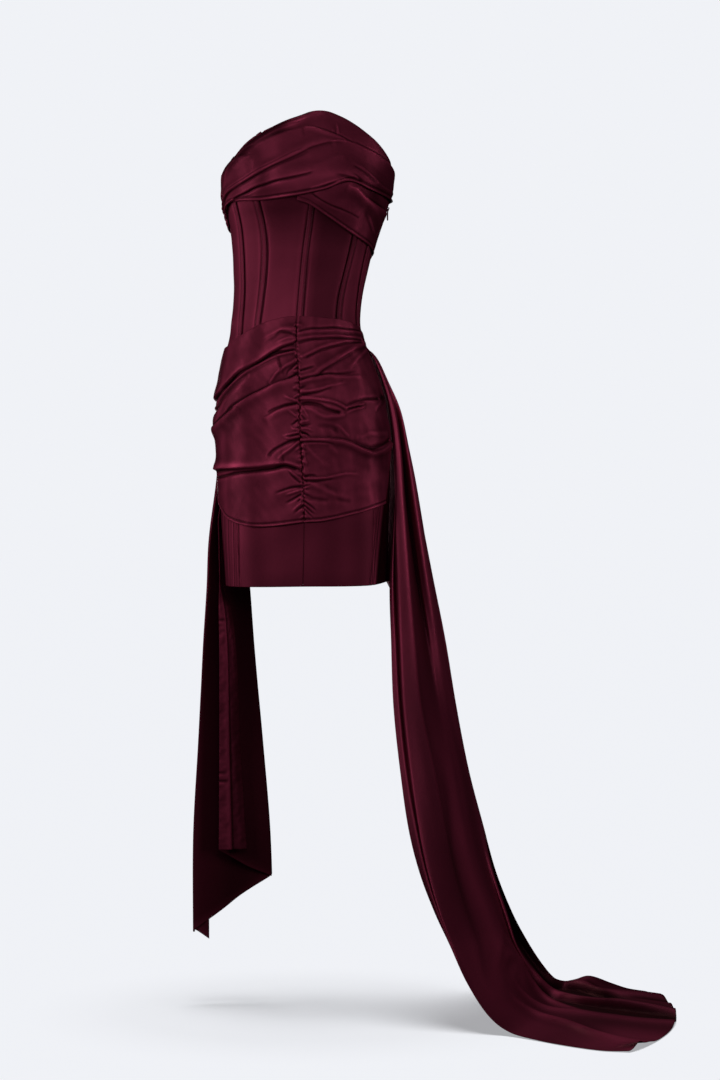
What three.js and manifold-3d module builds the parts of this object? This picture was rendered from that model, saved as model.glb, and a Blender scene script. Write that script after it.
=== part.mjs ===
// Strapless evening dress: a boned corset with a crossed bust drape, a fitted mini skirt under a
// ruched overskirt, a folded side tail and a long side train that runs out over the floor.
// Units are millimetres. Z is up, the front faces -Y, and the origin is the middle of the waist.
// Left and right are as seen from the front, so left is -X.
import * as THREE from 'three';
import { mergeVertices } from 'three/addons/utils/BufferGeometryUtils.js';
import Module from 'manifold-3d';

const wasm = await Module();
wasm.setup();

// Driving dimensions
const CLOTH = 1.6;            // one layer of satin with its backing
const SHELL = 1.8;            // corset and skirt wall: satin on a firm ground
const SEAM_GAP = 0.3;         // between two pieces that are sewn edge to edge
const OVER_BONES = 2.1;       // inner face of what lies over the bone channels
const OVER_CROSS = 5.2;       // inner face of the upper drape's edge over the cross drape
const ON_PANEL = 0.6;         // inner face of what lies straight on a panel
const WAIST_SEAM = -75;       // height of the seam between corset and skirt
const CORSET_BELOW_NECK = 3;  // the drape stands this much above the corset's top edge
const CORSET_ROWS = 14;
const BONE_WIDTH = 8;
const BONE_RISE = 1.1;
const BONE_CLEAR = 0.35;
const FLOOR = -1121;
const ZIP_AZ = 100;
const ZIP_SLOT = 5.2;
const ZIP_CHAIN = 4.6;
const ZIP_BOTTOM = -48;
const ZIP_BELOW_TOP = 2;
const ZIP_DRAPE_SLOT = 9;
const DEG = Math.PI / 180;

// The hollow figure that the dress is cut for: the outer face of the corset and the skirt.
// left and right are X, front and back are Y, at the height z.
const FORM = [
  { z: -446, left: -118.5, right: 139, front: -99, back: 102 },
  { z: -400, left: -121.5, right: 140, front: -100, back: 106 },
  { z: -350, left: -125, right: 141.5, front: -101, back: 111 },
  { z: -310, left: -127, right: 143, front: -102, back: 115 },
  { z: -275, left: -128.5, right: 144, front: -103, back: 119 },
  { z: -225, left: -131, right: 144, front: -103, back: 122 },
  { z: -180, left: -132, right: 141, front: -102, back: 121 },
  { z: -135, left: -129, right: 134, front: -100, back: 116 },
  { z: -95, left: -124, right: 120, front: -96, back: 106 },
  { z: -62, left: -116, right: 106, front: -92, back: 96 },
  { z: -45, left: -112, right: 100, front: -90, back: 91 },
  { z: -25, left: -110, right: 96.5, front: -88, back: 87 },
  { z: 0, left: -107, right: 97.5, front: -87, back: 83 },
  { z: 30, left: -105.6, right: 102, front: -87, back: 81 },
  { z: 55, left: -106.3, right: 107.5, front: -88, back: 81 },
  { z: 80, left: -107.2, right: 113.5, front: -90, back: 82 },
  { z: 100, left: -108.8, right: 119, front: -92, back: 83 },
  { z: 120, left: -111, right: 125, front: -95, back: 84 },
  { z: 140, left: -115, right: 131, front: -99, back: 86 },
  { z: 160, left: -120, right: 138, front: -104, back: 88 },
  { z: 185, left: -124, right: 145.5, front: -109, back: 90 },
  { z: 210, left: -124.5, right: 147, front: -110, back: 90 },
  { z: 250, left: -124, right: 146, front: -104, back: 86 },
  { z: 290, left: -118, right: 139, front: -93, back: 79 },
  { z: 330, left: -108, right: 128, front: -78, back: 70 },
];
const SQUARENESS = 2.2;
const CUPS = { az: 31, spread: 19, z: 196, tall: 42, rise: 6 };

// Top edge of the drape, by azimuth: 0 is the front, 90 the right side, 180 the back.
const NECKLINE = [
  { az: -180, z: 170 }, { az: -130, z: 172 }, { az: -105, z: 182 }, { az: -88, z: 200 },
  { az: -72, z: 220 }, { az: -59, z: 235 }, { az: -45, z: 258 }, { az: -23, z: 282 },
  { az: 0, z: 296 }, { az: 15, z: 300 }, { az: 26, z: 297 }, { az: 44, z: 279 },
  { az: 60, z: 254 }, { az: 79, z: 223 }, { az: 90, z: 204 }, { az: 100, z: 187 },
  { az: 125, z: 173 }, { az: 180, z: 170 },
];

// Lower edge of the upper drape, and of the lower one that comes out from under it.
const UPPER_LOW_EDGE = [
  { az: -80, z: 140 }, { az: -70, z: 158 }, { az: -58, z: 162 }, { az: -33, z: 160 },
  { az: -8, z: 166 }, { az: 15, z: 175 }, { az: 33, z: 188 }, { az: 48, z: 180 },
  { az: 63, z: 174 }, { az: 98, z: 163 },
];
const CROSS_LOW_EDGE = [
  { az: -8, z: 160 }, { az: 5, z: 152 }, { az: 18, z: 138 }, { az: 30, z: 125 },
  { az: 42, z: 113 }, { az: 55, z: 103 }, { az: 70, z: 94 }, { az: 82, z: 86 }, { az: 98, z: 80 },
];
const CROSS_STARTS_AT = -6;
const BAND_LOW_EDGE = [
  { az: 98, z: 80 }, { az: 130, z: 92 }, { az: 180, z: 104 }, { az: 230, z: 112 },
  { az: 262, z: 122 }, { az: 281, z: 128 },
];

// Overskirt edges. The right half ends in a free edge, the left half in the side-back seam.
const OVER_TOP = [
  { az: -104, z: -66 }, { az: -88, z: -66 }, { az: -70, z: -63 }, { az: -59, z: -53 },
  { az: -38, z: -36 }, { az: -20, z: -26 }, { az: 0, z: -21 }, { az: 42, z: -24 },
  { az: 60, z: -29 }, { az: 72, z: -36 }, { az: 79, z: -46 },
];
const OVER_HEM = [
  { az: -104, z: -292 }, { az: -88, z: -304 }, { az: -77, z: -320 }, { az: -67, z: -336 },
  { az: -55, z: -346 }, { az: -35, z: -351 }, { az: 0, z: -344 }, { az: 17, z: -342 },
  { az: 44, z: -330 }, { az: 59, z: -321 }, { az: 79, z: -309 },
];
const OVER_LEFT_END = -104;
const OVER_FREE_EDGE = [
  { z: -330, az: 71 }, { z: -310, az: 72 }, { z: -280, az: 74.5 }, { z: -250, az: 78 },
  { z: -215, az: 81.5 }, { z: -190, az: 80 }, { z: -165, az: 77.5 }, { z: -140, az: 72 },
  { z: -120, az: 72.5 }, { z: -92, az: 71 }, { z: -66, az: 74 }, { z: -46, az: 78 },
];
const CENTRE_SEAM = [
  { z: -450, az: -2 }, { z: -343, az: 0.4 }, { z: -265, az: -0.8 }, { z: -192, az: -1.8 },
  { z: -115, az: -0.2 }, { z: -50, az: 1 }, { z: -21, az: 2.8 },
];

// Corset seams: azimuth of each at four heights.
const SEAM_LEVELS = [-75, 0, 80, 160];
const CORSET_SEAMS = {
  farLeft: [-57, -58.5, -60.5, -62],
  left: [-38.5, -36.5, -35.5, -40],
  centre: [6.5, 5.5, 5, 7],
  right: [46.5, 45.5, 50, 49.5],
  farRight: [74.5, 72, 70, 70],
};
const SIDE_SEAM_LEFT = -88;
const CENTRE_BACK = 186;
// Hem of the skirt: it rises a little over the hips.
const SKIRT_HEM = [
  { az: -104, z: -442 }, { az: -60, z: -445 }, { az: 0, z: -444 }, { az: 55, z: -443 },
  { az: 80, z: -438 }, { az: 106, z: -437 }, { az: 182, z: -443 }, { az: 256, z: -442 },
];
const SKIRT_SEAMS = { left: -58, right: 60, sideLeft: -104, sideRight: 106, back: 182 };

// Folds raised on the drapes. Each runs through points of azimuth and height. rise is its height,
// width its half width, from and to the share of the rise at its two ends, and lean steepens
// the lower side (above 0) or the upper side (below 0).
const UPPER_FOLDS = [
  { path: [[-80, 186], [-64, 214], [-45, 241], [-22, 268], [2, 284]],
    rise: 2.2, width: 15, from: 0.8, to: 0.2, lean: 0 },
  { path: [[-80, 152], [-72, 167], [-58, 187], [-44, 198], [-21, 221], [4, 242], [30, 251]],
    rise: 4.6, width: 10, from: 1, to: 0.35, lean: 0.55 },
  { path: [[-80, 144], [-69, 157], [-49, 174], [-26, 187], [-3, 197], [20, 218]],
    rise: 3.8, width: 9, from: 1, to: 0.2, lean: 0.5 },
  { path: [[-72, 152], [-50, 164], [-20, 167], [5, 176], [33, 193], [50, 184], [75, 172], [98, 166]],
    rise: 3.4, width: 7, from: 0.8, to: 1, lean: 0.6 },
  { path: [[3, 272], [27, 257], [48, 239], [76, 222], [98, 200]],
    rise: 3.4, width: 9, from: 0.3, to: 1, lean: -0.5 },
  { path: [[22, 232], [40, 218], [56, 198], [75, 187], [98, 180]],
    rise: 3.0, width: 9, from: 0.2, to: 1, lean: 0.4 },
  { path: [[20, 203], [40, 200], [60, 184], [98, 173]], rise: 2.2, width: 6, from: 0, to: 1, lean: 0.3 },
  { path: [[28, 280], [28.6, 259]], rise: 1.4, width: 5, from: 0.4, to: 1, lean: 0 },
];
const CROSS_FOLDS = [
  { path: [[-4, 163], [12, 148], [30, 132], [50, 114], [72, 101], [98, 92]],
    rise: 3.2, width: 8, from: 0.5, to: 1, lean: 0.5 },
  { path: [[10, 168], [28, 150], [48, 136], [70, 124], [98, 112]],
    rise: 2.8, width: 8, from: 0.3, to: 1, lean: 0.4 },
  { path: [[34, 180], [46, 170], [61, 158], [80, 147], [98, 140]],
    rise: 3.6, width: 8, from: 0.6, to: 1, lean: 0.4 },
];
const BAND_FOLDS = [
  { path: [[98, 168], [140, 150], [190, 146], [240, 150], [281, 160]],
    rise: 2.6, width: 9, from: 1, to: 1, lean: 0.4 },
  { path: [[98, 138], [130, 132], [190, 126], [245, 134], [281, 143]],
    rise: 2.4, width: 8, from: 1, to: 1, lean: 0.4 },
  { path: [[98, 104], [130, 108], [170, 114]], rise: 2.2, width: 8, from: 1, to: 0.2, lean: 0.4 },
];
const OVER_LEFT_FOLDS = [
  { path: [[-2, -41], [-14, -44], [-37, -69], [-56, -88], [-75, -106], [-104, -112]],
    rise: 5.2, width: 13, from: 0.5, to: 0.8, lean: 0.5 },
  { path: [[-2, -68], [-17, -73], [-37, -98], [-56, -119], [-80, -146], [-104, -156]],
    rise: 5.6, width: 12, from: 0.4, to: 0.9, lean: 0.5 },
  { path: [[-2, -108], [-22, -123], [-42, -142], [-61, -164], [-82, -188], [-104, -200]],
    rise: 6.4, width: 14, from: 0.4, to: 1, lean: 0.5 },
  { path: [[-3, -157], [-16, -161], [-32, -176]], rise: 2.4, width: 8, from: 1, to: 0, lean: 0.3 },
  { path: [[-4, -216], [-20, -226], [-38, -248]], rise: 2.6, width: 12, from: 0.8, to: 0.1, lean: 0.3 },
  { path: [[-20, -250], [-52, -258], [-80, -254], [-104, -244]],
    rise: 6.6, width: 13, from: 0.3, to: 1, lean: 0.55 },
  { path: [[-12, -342], [-40, -345], [-66, -331]], rise: 1.6, width: 8, from: 0.5, to: 0.5, lean: 0 },
];
const OVER_RIGHT_FOLDS = [
  { path: [[5, -43], [33, -37], [63, -41], [78, -50]], rise: 2.2, width: 6, from: 0.6, to: 1, lean: 0.3 },
  { path: [[4, -63], [31, -55], [60, -54], [78, -56]], rise: 2.6, width: 7, from: 0.5, to: 1, lean: 0.3 },
  { path: [[78, -60], [54, -74], [35, -90], [17, -107], [2, -116]],
    rise: 4.6, width: 9, from: 1, to: 0.5, lean: 0.5 },
  { path: [[2, -130], [20, -124], [46, -118], [72, -112]],
    rise: 3.2, width: 10, from: 0.8, to: 0.5, lean: 0.3 },
  { path: [[0, -152], [22, -155], [36, -165], [54, -155], [72, -146]],
    rise: 3.6, width: 9, from: 0.8, to: 0.8, lean: 0.4 },
  { path: [[2, -184], [25, -190], [50, -200], [78, -190]],
    rise: 2.4, width: 12, from: 0.6, to: 0.5, lean: 0.2 },
  { path: [[0, -212], [22, -211], [38, -214], [56, -224], [68, -222], [81, -208]],
    rise: 4.4, width: 10, from: 0.6, to: 1, lean: 0.6 },
  { path: [[1, -274], [20, -268], [45, -264], [78, -258]],
    rise: 2.6, width: 11, from: 0.9, to: 0.4, lean: 0.3 },
];
const RUCHE = { gathers: 22, rise: 1.9, reach: 13 };

// Train, a row for each section from the waist to the hem. f is its front edge, b its back edge,
// bulge how far the middle stands out, fold the share of the lengthwise folds.
const TRAIN = [
  { fx: 106.9, fy: 9, fz: -57, bx: 83.5, by: 62.5, bz: -57, bulge: 7.2, fold: 0.12 },
  { fx: 116.4, fy: 9, fz: -76, bx: 100, by: 66, bz: -76, bulge: 9, fold: 0.3 },
  { fx: 131, fy: 8, fz: -116, bx: 119, by: 70, bz: -114, bulge: 9, fold: 0.6 },
  { fx: 143, fy: 5, fz: -166, bx: 145, by: 76, bz: -164, bulge: 8, fold: 0.9 },
  { fx: 149.5, fy: 0, fz: -230, bx: 171, by: 80, bz: -232, bulge: 6, fold: 1 },
  { fx: 151, fy: -5, fz: -310, bx: 191, by: 82, bz: -310, bulge: 4, fold: 1 },
  { fx: 143, fy: -18, fz: -438, bx: 217, by: 84, bz: -440, bulge: 3, fold: 1 },
  { fx: 145, fy: -40, fz: -531, bx: 236, by: 88, bz: -536, bulge: 4, fold: 0.95 },
  { fx: 149, fy: -60, fz: -633, bx: 254, by: 95, bz: -643, bulge: 5, fold: 0.9 },
  { fx: 159, fy: -85, fz: -733, bx: 275, by: 105, bz: -750, bulge: 5, fold: 0.85 },
  { fx: 171, fy: -110, fz: -818, bx: 295, by: 118, bz: -844, bulge: 4, fold: 0.8 },
  { fx: 188, fy: -130, fz: -885, bx: 321, by: 130, bz: -920, bulge: 2, fold: 0.8 },
  { fx: 210, fy: -150, fz: -942, bx: 349, by: 142, bz: -988, bulge: -2, fold: 0.8 },
  { fx: 233, fy: -168, fz: -990, bx: 376, by: 155, bz: -1042, bulge: -5, fold: 0.8 },
  { fx: 258, fy: -188, fz: -1044, bx: 402, by: 170, bz: -1080, bulge: -8, fold: 0.85 },
  { fx: 289, fy: -207, fz: -1090, bx: 426, by: 186, bz: -1106, bulge: -4, fold: 0.9 },
  { fx: 321, fy: -222, fz: -1114, bx: 452, by: 198, bz: -1119, bulge: 8, fold: 0.95 },
  { fx: 361, fy: -257, fz: -1120, bx: 480, by: 205, bz: -1120, bulge: 30, fold: 1 },
  { fx: 400, fy: -295, fz: -1120, bx: 510, by: 200, bz: -1120, bulge: 42, fold: 1 },
  { fx: 448, fy: -330, fz: -1120, bx: 542, by: 178, bz: -1120, bulge: 54, fold: 1 },
  { fx: 490, fy: -341, fz: -1120, bx: 569, by: 150, bz: -1120, bulge: 60, fold: 0.7 },
];
const TRAIN_FULLNESS = 0.75;  // below 1 the train's sections are squarer than an arc
const TRAIN_SEAT = { from: 94.6, to: 125.2 };  // azimuths of its gathered top edge
// Lengthwise folds of the train: at is the place across it (0 front edge, 1 back edge) at the
// waist, end the same at the hem; rise above the sheet, spread half width as a share of it.
const TRAIN_FOLDS = [
  { at: 0.03, end: 0.11, rise: 8, spread: 0.06 },
  { at: 0.33, end: 0.26, rise: 15, spread: 0.12 },
  { at: 0.62, end: 0.52, rise: 12, spread: 0.11 },
  { at: 0.84, end: 0.75, rise: 12, spread: 0.09 },
  { at: 1.0, end: 0.96, rise: 14, spread: 0.07 },
];

// Side tail: a long cloth folded in three, a row for each section seen from above. left and right
// are the two folds, inner the free edge of the front layer, bow how far the middle of a layer
// stands away from the dress.
const TAIL = [
  { z: -1020, leftX: -171, leftY: 46, rightX: -48, rightY: 72,
    innerX: -131, innerY: 34, bow: 9, innerBow: -4 },
  { z: -850, leftX: -171, leftY: 46, rightX: -53, rightY: 74,
    innerX: -131, innerY: 34, bow: 9, innerBow: -4 },
  { z: -700, leftX: -163.5, leftY: 44, rightX: -65, rightY: 80,
    innerX: -130, innerY: 34, bow: 9, innerBow: -4 },
  { z: -545, leftX: -155.5, leftY: 40, rightX: -79.5, rightY: 90,
    innerX: -129, innerY: 34, bow: 8, innerBow: -4 },
  { z: -450, leftX: -149, leftY: 40, rightX: -87.5, rightY: 100,
    innerX: -128, innerY: 38, bow: 7, innerBow: -3 },
  { z: -370, leftX: -145.5, leftY: 44, rightX: -95, rightY: 103,
    innerX: -127, innerY: 41, bow: 7, innerBow: -2 },
  { z: -275, leftX: -133.5, leftY: 50, rightX: -97, rightY: 99,
    innerX: -125, innerY: 42, bow: 6, innerBow: 2 },
  { z: -240, leftX: -130.4, leftY: 44.5, rightX: -100.8, rightY: 91,
    innerX: -126.5, innerY: 41, bow: 5, innerBow: 4 },
];
const TAIL_TOP = -240;
const TAIL_FLAP = 24;         // width of the margin that is turned back at the left fold
const TAIL_PLY = 4.8;         // between the middles of two layers that lie on each other
// Hem of the tail along the cloth: the turned back margin, the left fold, the right fold, the end.
const TAIL_HEM = [
  { across: 0, z: -1018 }, { across: 1 / 9, z: -1003 }, { across: 3 / 9, z: -999 },
  { across: 5 / 9, z: -920 }, { across: 7 / 9, z: -916 }, { across: 1, z: -872 },
];
const TAIL_INNER = [
  { z: -868, leftX: -128, leftY: 12, rightX: -86, rightY: 22 },
  { z: -700, leftX: -127, leftY: 10, rightX: -96, rightY: 22 },
  { z: -545, leftX: -127, leftY: 7, rightX: -103, rightY: 20 },
  { z: -482, leftX: -128, leftY: 7, rightX: -112, rightY: 20 },
  { z: -450, leftX: -129, leftY: 8, rightX: -124, rightY: 24 },
  { z: -370, leftX: -131, leftY: 14, rightX: -128, rightY: 30 },
  { z: -300, leftX: -134, leftY: 20, rightX: -132.5, rightY: 33 },
];

// Azimuths of the inner layer's top edge, where it is sewn to the skirt.
const TAIL_INNER_SEAT = { from: -98.5, to: -104.5 };

const SATIN = { color: 0x5a1228, roughness: 0.38, metalness: 0 };
const SATIN_DEEP = { color: 0x430c1e, roughness: 0.42, metalness: 0 };
const METAL = { color: 0x3a1a22, roughness: 0.35, metalness: 0.8 };

const smooth = (t) => {
  const s = Math.min(1, Math.max(0, t));
  return s * s * (3 - 2 * s);
};
const mix = (a, b, t) => a + (b - a) * t;

// A smooth curve through one column of a table whose rows are sorted by the key column.
function along(table, key, column, at) {
  const last = table.length - 1;
  const x = Math.min(table[last][key], Math.max(table[0][key], at));
  let i = 0;
  while (i < last - 1 && x > table[i + 1][key]) i += 1;
  const slope = (k) => {
    const from = table[Math.max(0, k - 1)];
    const to = table[Math.min(last, k + 1)];
    return (to[column] - from[column]) / (to[key] - from[key]);
  };
  const span = table[i + 1][key] - table[i][key];
  const t = (x - table[i][key]) / span;
  const h00 = (1 + 2 * t) * (1 - t) * (1 - t);
  const h10 = t * (1 - t) * (1 - t);
  const h01 = t * t * (3 - 2 * t);
  const h11 = t * t * (t - 1);
  return h00 * table[i][column] + h10 * span * slope(i)
    + h01 * table[i + 1][column] + h11 * span * slope(i + 1);
}

// A point of the figure at an azimuth in degrees and a height.
function figure(az, z) {
  const left = along(FORM, 'z', 'left', z);
  const right = along(FORM, 'z', 'right', z);
  const turn = az * DEG;
  const facesFront = Math.cos(turn) >= 0;
  const depth = facesFront ? -along(FORM, 'z', 'front', z) : along(FORM, 'z', 'back', z);
  const half = (right - left) / 2;
  const across = Math.pow(Math.abs(Math.sin(turn)) / half, SQUARENESS);
  const deep = Math.pow(Math.abs(Math.cos(turn)) / depth, SQUARENESS);
  const bell = (d, spread) => Math.exp(-((d / spread) ** 2));
  const cups = bell(az - CUPS.az - 6, CUPS.spread) + bell(az + CUPS.az - 6, CUPS.spread);
  const radius = Math.pow(across + deep, -1 / SQUARENESS)
    + CUPS.rise * cups * bell(z - CUPS.z, CUPS.tall);
  return new THREE.Vector3((left + right) / 2 + radius * Math.sin(turn), -radius * Math.cos(turn), z);
}

function outward(az, z) {
  const around = figure(az + 0.5, z).sub(figure(az - 0.5, z));
  const up = figure(az, z + 1).sub(figure(az, z - 1));
  return around.cross(up).normalize();
}

function onFigure(az, z, offset) {
  return figure(az, z).addScaledVector(outward(az, z), offset);
}

// Azimuth that lies a distance in millimetres round the figure from the given one.
function stepRound(az, z, distance) {
  const perDegree = figure(az + 0.5, z).distanceTo(figure(az - 0.5, z));
  return az + distance / perDegree;
}

// A closed wall between two faces that are both given on a grid of columns and rows. Columns run
// round the figure from -X over the front to +X, rows run upwards, so the faces point outwards.
function wall(columns, rows, outer, inner) {
  const points = [];
  const faces = [];
  const stride = rows + 1;
  const layer = (columns + 1) * stride;
  for (const face of [outer, inner]) {
    for (let c = 0; c <= columns; c += 1) {
      for (let r = 0; r <= rows; r += 1) {
        const p = face(c, r);
        points.push(p.x, p.y, p.z);
      }
    }
  }
  const id = (side, c, r) => side * layer + c * stride + r;
  const quad = (a, b, c, d) => faces.push(a, b, c, a, c, d);
  for (let c = 0; c < columns; c += 1) {
    for (let r = 0; r < rows; r += 1) {
      quad(id(0, c, r), id(0, c + 1, r), id(0, c + 1, r + 1), id(0, c, r + 1));
      quad(id(1, c, r), id(1, c, r + 1), id(1, c + 1, r + 1), id(1, c + 1, r));
    }
    quad(id(0, c, 0), id(1, c, 0), id(1, c + 1, 0), id(0, c + 1, 0));
    quad(id(0, c, rows), id(0, c + 1, rows), id(1, c + 1, rows), id(1, c, rows));
  }
  for (let r = 0; r < rows; r += 1) {
    quad(id(0, 0, r), id(0, 0, r + 1), id(1, 0, r + 1), id(1, 0, r));
    quad(id(0, columns, r), id(1, columns, r), id(1, columns, r + 1), id(0, columns, r + 1));
  }
  const geometry = new THREE.BufferGeometry();
  geometry.setAttribute('position', new THREE.Float32BufferAttribute(points, 3));
  geometry.setIndex(faces);
  geometry.computeVertexNormals();
  return geometry;
}

const dress = new THREE.Group();

function addPiece(name, geometry, look) {
  const mesh = new THREE.Mesh(geometry, new THREE.MeshStandardMaterial(look));
  mesh.name = name;
  dress.add(mesh);
}

// A panel of the corset or skirt. from and to give its side seams by height, bottom and top its
// ends by azimuth, and fromGap and toGap how far it keeps from each seam.
function panel({ name, from, to, bottom, top, columns, rows, fromGap = SEAM_GAP / 2,
  toGap = SEAM_GAP / 2, inner = -SHELL, outer = 0, look = SATIN }) {
  const middle = (bottom(from(0)) + top(from(0))) / 2;
  const place = (c, r) => {
    const roughAz = mix(from(middle), to(middle), c / columns);
    const z = mix(bottom(roughAz), top(roughAz), r / rows);
    const start = stepRound(from(z), z, fromGap);
    const end = stepRound(to(z), z, -toGap);
    return { az: mix(start, end, c / columns), z };
  };
  const face = (offset) => (c, r) => {
    const { az, z } = place(c, r);
    return onFigure(az, z, offset);
  };
  addPiece(name, wall(columns, rows, face(outer), face(inner)), look);
}

const neckline = (az) => along(NECKLINE, 'az', 'z', az > 180 ? az - 360 : az);
const corsetTop = (az) => neckline(az) - CORSET_BELOW_NECK;
const fixed = (value) => () => value;
const seamTable = (name) => SEAM_LEVELS.map((z, i) => ({ z, az: CORSET_SEAMS[name][i] }));
const seamTables = Object.fromEntries(Object.keys(CORSET_SEAMS).map((n) => [n, seamTable(n)]));
const corsetSeam = (name) => (z) => along(seamTables[name], 'z', 'az', z);

function addCorset() {
  const bottom = fixed(WAIST_SEAM);
  const rows = CORSET_ROWS;
  const panels = [
    { name: 'corset_side_left', from: fixed(SIDE_SEAM_LEFT), to: corsetSeam('farLeft'), columns: 4 },
    { name: 'corset_side_front_left', from: corsetSeam('farLeft'), to: corsetSeam('left'), columns: 3 },
    { name: 'corset_front_left', from: corsetSeam('left'), to: corsetSeam('centre'), columns: 5 },
    { name: 'corset_front_right', from: corsetSeam('centre'), to: corsetSeam('right'), columns: 5 },
    { name: 'corset_side_front_right', from: corsetSeam('right'), to: corsetSeam('farRight'), columns: 3 },
    { name: 'corset_side_right', from: corsetSeam('farRight'), to: fixed(ZIP_AZ),
      columns: 4, toGap: ZIP_SLOT / 2 },
    { name: 'corset_back_right', from: fixed(ZIP_AZ), to: fixed(CENTRE_BACK),
      columns: 9, fromGap: ZIP_SLOT / 2 },
    { name: 'corset_back_left', from: fixed(CENTRE_BACK), to: fixed(SIDE_SEAM_LEFT + 360), columns: 9 },
  ];
  for (const each of panels) panel({ ...each, bottom, top: corsetTop, rows });
}

// A bone channel: a narrow strip that lies over a seam, made from the panel's surface moved out.
function addBoneChannel(name, seam) {
  const side = (distance) => (z) => stepRound(seam(z), z, distance);
  panel({
    name,
    from: side(-BONE_WIDTH / 2),
    to: side(BONE_WIDTH / 2),
    bottom: fixed(WAIST_SEAM),
    top: corsetTop,
    columns: 1,
    rows: CORSET_ROWS,
    fromGap: 0,
    toGap: 0,
    inner: BONE_CLEAR,
    outer: BONE_CLEAR + BONE_RISE,
    look: SATIN_DEEP,
  });
}

function addSkirt() {
  const top = fixed(WAIST_SEAM - SEAM_GAP);
  const bottom = (az) => along(SKIRT_HEM, 'az', 'z', az);
  const centre = (z) => along(CENTRE_SEAM, 'z', 'az', z);
  const seams = SKIRT_SEAMS;
  const panels = [
    { name: 'skirt_side_left', from: fixed(seams.sideLeft), to: fixed(seams.left), columns: 5 },
    { name: 'skirt_front_left', from: fixed(seams.left), to: centre, columns: 6 },
    { name: 'skirt_front_right', from: centre, to: fixed(seams.right), columns: 6 },
    { name: 'skirt_side_right', from: fixed(seams.right), to: fixed(seams.sideRight), columns: 5 },
    { name: 'skirt_back_right', from: fixed(seams.sideRight), to: fixed(seams.back), columns: 7 },
    { name: 'skirt_back_left', from: fixed(seams.back), to: fixed(seams.sideLeft + 360), columns: 7 },
  ];
  for (const each of panels) panel({ ...each, bottom, top, rows: 7 });
}

// Height of a table of folds at a point of the figure.
const MM_PER_DEGREE = 2.1;
function foldSteps(path) {
  const stops = path.map(([az, z]) => new THREE.Vector3(az * MM_PER_DEGREE, z, 0));
  return new THREE.CatmullRomCurve3(stops).getPoints(path.length * 4);
}
function prepareFolds(folds) {
  return folds.map((fold) => ({ ...fold, points: foldSteps(fold.path) }));
}
function foldRise(folds, az, z) {
  const x = az * MM_PER_DEGREE;
  let total = 0;
  for (const fold of folds) {
    let best = Infinity;
    let share = 0;
    let side = 1;
    const last = fold.points.length - 1;
    for (let i = 0; i < last; i += 1) {
      const a = fold.points[i];
      const b = fold.points[i + 1];
      const dx = b.x - a.x;
      const dz = b.y - a.y;
      const t = Math.min(1, Math.max(0, ((x - a.x) * dx + (z - a.y) * dz) / (dx * dx + dz * dz)));
      const away = Math.hypot(x - a.x - t * dx, z - a.y - t * dz);
      if (away < best) {
        best = away;
        share = (i + t) / last;
        const above = (z - a.y) * dx - (x - a.x) * dz;
        side = above * Math.sign(dx || 1) >= 0 ? 1 : -1;
      }
    }
    const reach = fold.width * (1 + side * fold.lean);
    if (best < reach * 2) {
      const strength = mix(fold.from, fold.to, share);
      total += fold.rise * strength * Math.exp(-2.2 * (best / reach) ** 2);
    }
  }
  return total;
}

// A drape over the figure. low and high give its edges by azimuth, base its inner face.
function drape({ name, columnAz, rows, low, high, folds, base, gathers = () => 0, look = SATIN }) {
  const prepared = prepareFolds(folds);
  const place = (c, r) => {
    const share = r / rows;
    const roughAz = columnAz(c, 0);
    const roughZ = mix(low(roughAz), high(roughAz), share);
    const az = columnAz(c, roughZ);
    return { az, z: mix(low(az), high(az), share), share };
  };
  const columns = columnAz.count;
  const outer = (c, r) => {
    const { az, z, share } = place(c, r);
    const rise = foldRise(prepared, az, z) + gathers(az, z, r);
    return onFigure(az, z, base(az, z, share) + CLOTH + rise);
  };
  const inner = (c, r) => {
    const { az, z, share } = place(c, r);
    return onFigure(az, z, base(az, z, share) + foldRise(prepared, az, z));
  };
  addPiece(name, wall(columns, rows, outer, inner), look);
}

// Columns between two ends; bunch above 1 puts more of them near the start.
function columnsBetween(count, start, end, bunch = 1) {
  const at = (c, z) => mix(start(z), end(z), (c / count) ** bunch);
  at.count = count;
  return at;
}

const upperLow = (az) => along(UPPER_LOW_EDGE, 'az', 'z', az);
const crossLow = (az) => along(CROSS_LOW_EDGE, 'az', 'z', az);
const bandLow = (az) => along(BAND_LOW_EDGE, 'az', 'z', az);
const bustLeftEnd = -80;
const zipSide = (distance) => (z) => stepRound(ZIP_AZ, z, distance);

function addBustDrape() {
  // Its lower edge stands off on the right, where the cross drape comes out from under it.
  const upperBase = (az, z, share) => {
    const crossed = smooth((az + 30) / 30);
    const overCross = mix(OVER_CROSS, OVER_BONES, smooth((share - 0.12) / 0.3));
    return mix(OVER_BONES, overCross, crossed);
  };
  drape({
    name: 'bust_drape_upper',
    columnAz: columnsBetween(30, fixed(bustLeftEnd), zipSide(-ZIP_DRAPE_SLOT / 2)),
    rows: 12,
    low: upperLow,
    high: neckline,
    folds: UPPER_FOLDS,
    base: upperBase,
  });
  drape({
    name: 'bust_drape_cross',
    columnAz: columnsBetween(18, fixed(CROSS_STARTS_AT), zipSide(-ZIP_DRAPE_SLOT / 2)),
    rows: 8,
    low: crossLow,
    high: (az) => upperLow(az) - 0.6,
    folds: CROSS_FOLDS,
    base: fixed(OVER_BONES),
  });
  drape({
    name: 'bust_band_back',
    columnAz: columnsBetween(22, zipSide(ZIP_DRAPE_SLOT / 2), fixed(bustLeftEnd + 360 - 0.25)),
    rows: 7,
    low: bandLow,
    high: neckline,
    folds: BAND_FOLDS,
    base: fixed(ON_PANEL),
    look: SATIN_DEEP,
  });
}

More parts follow.
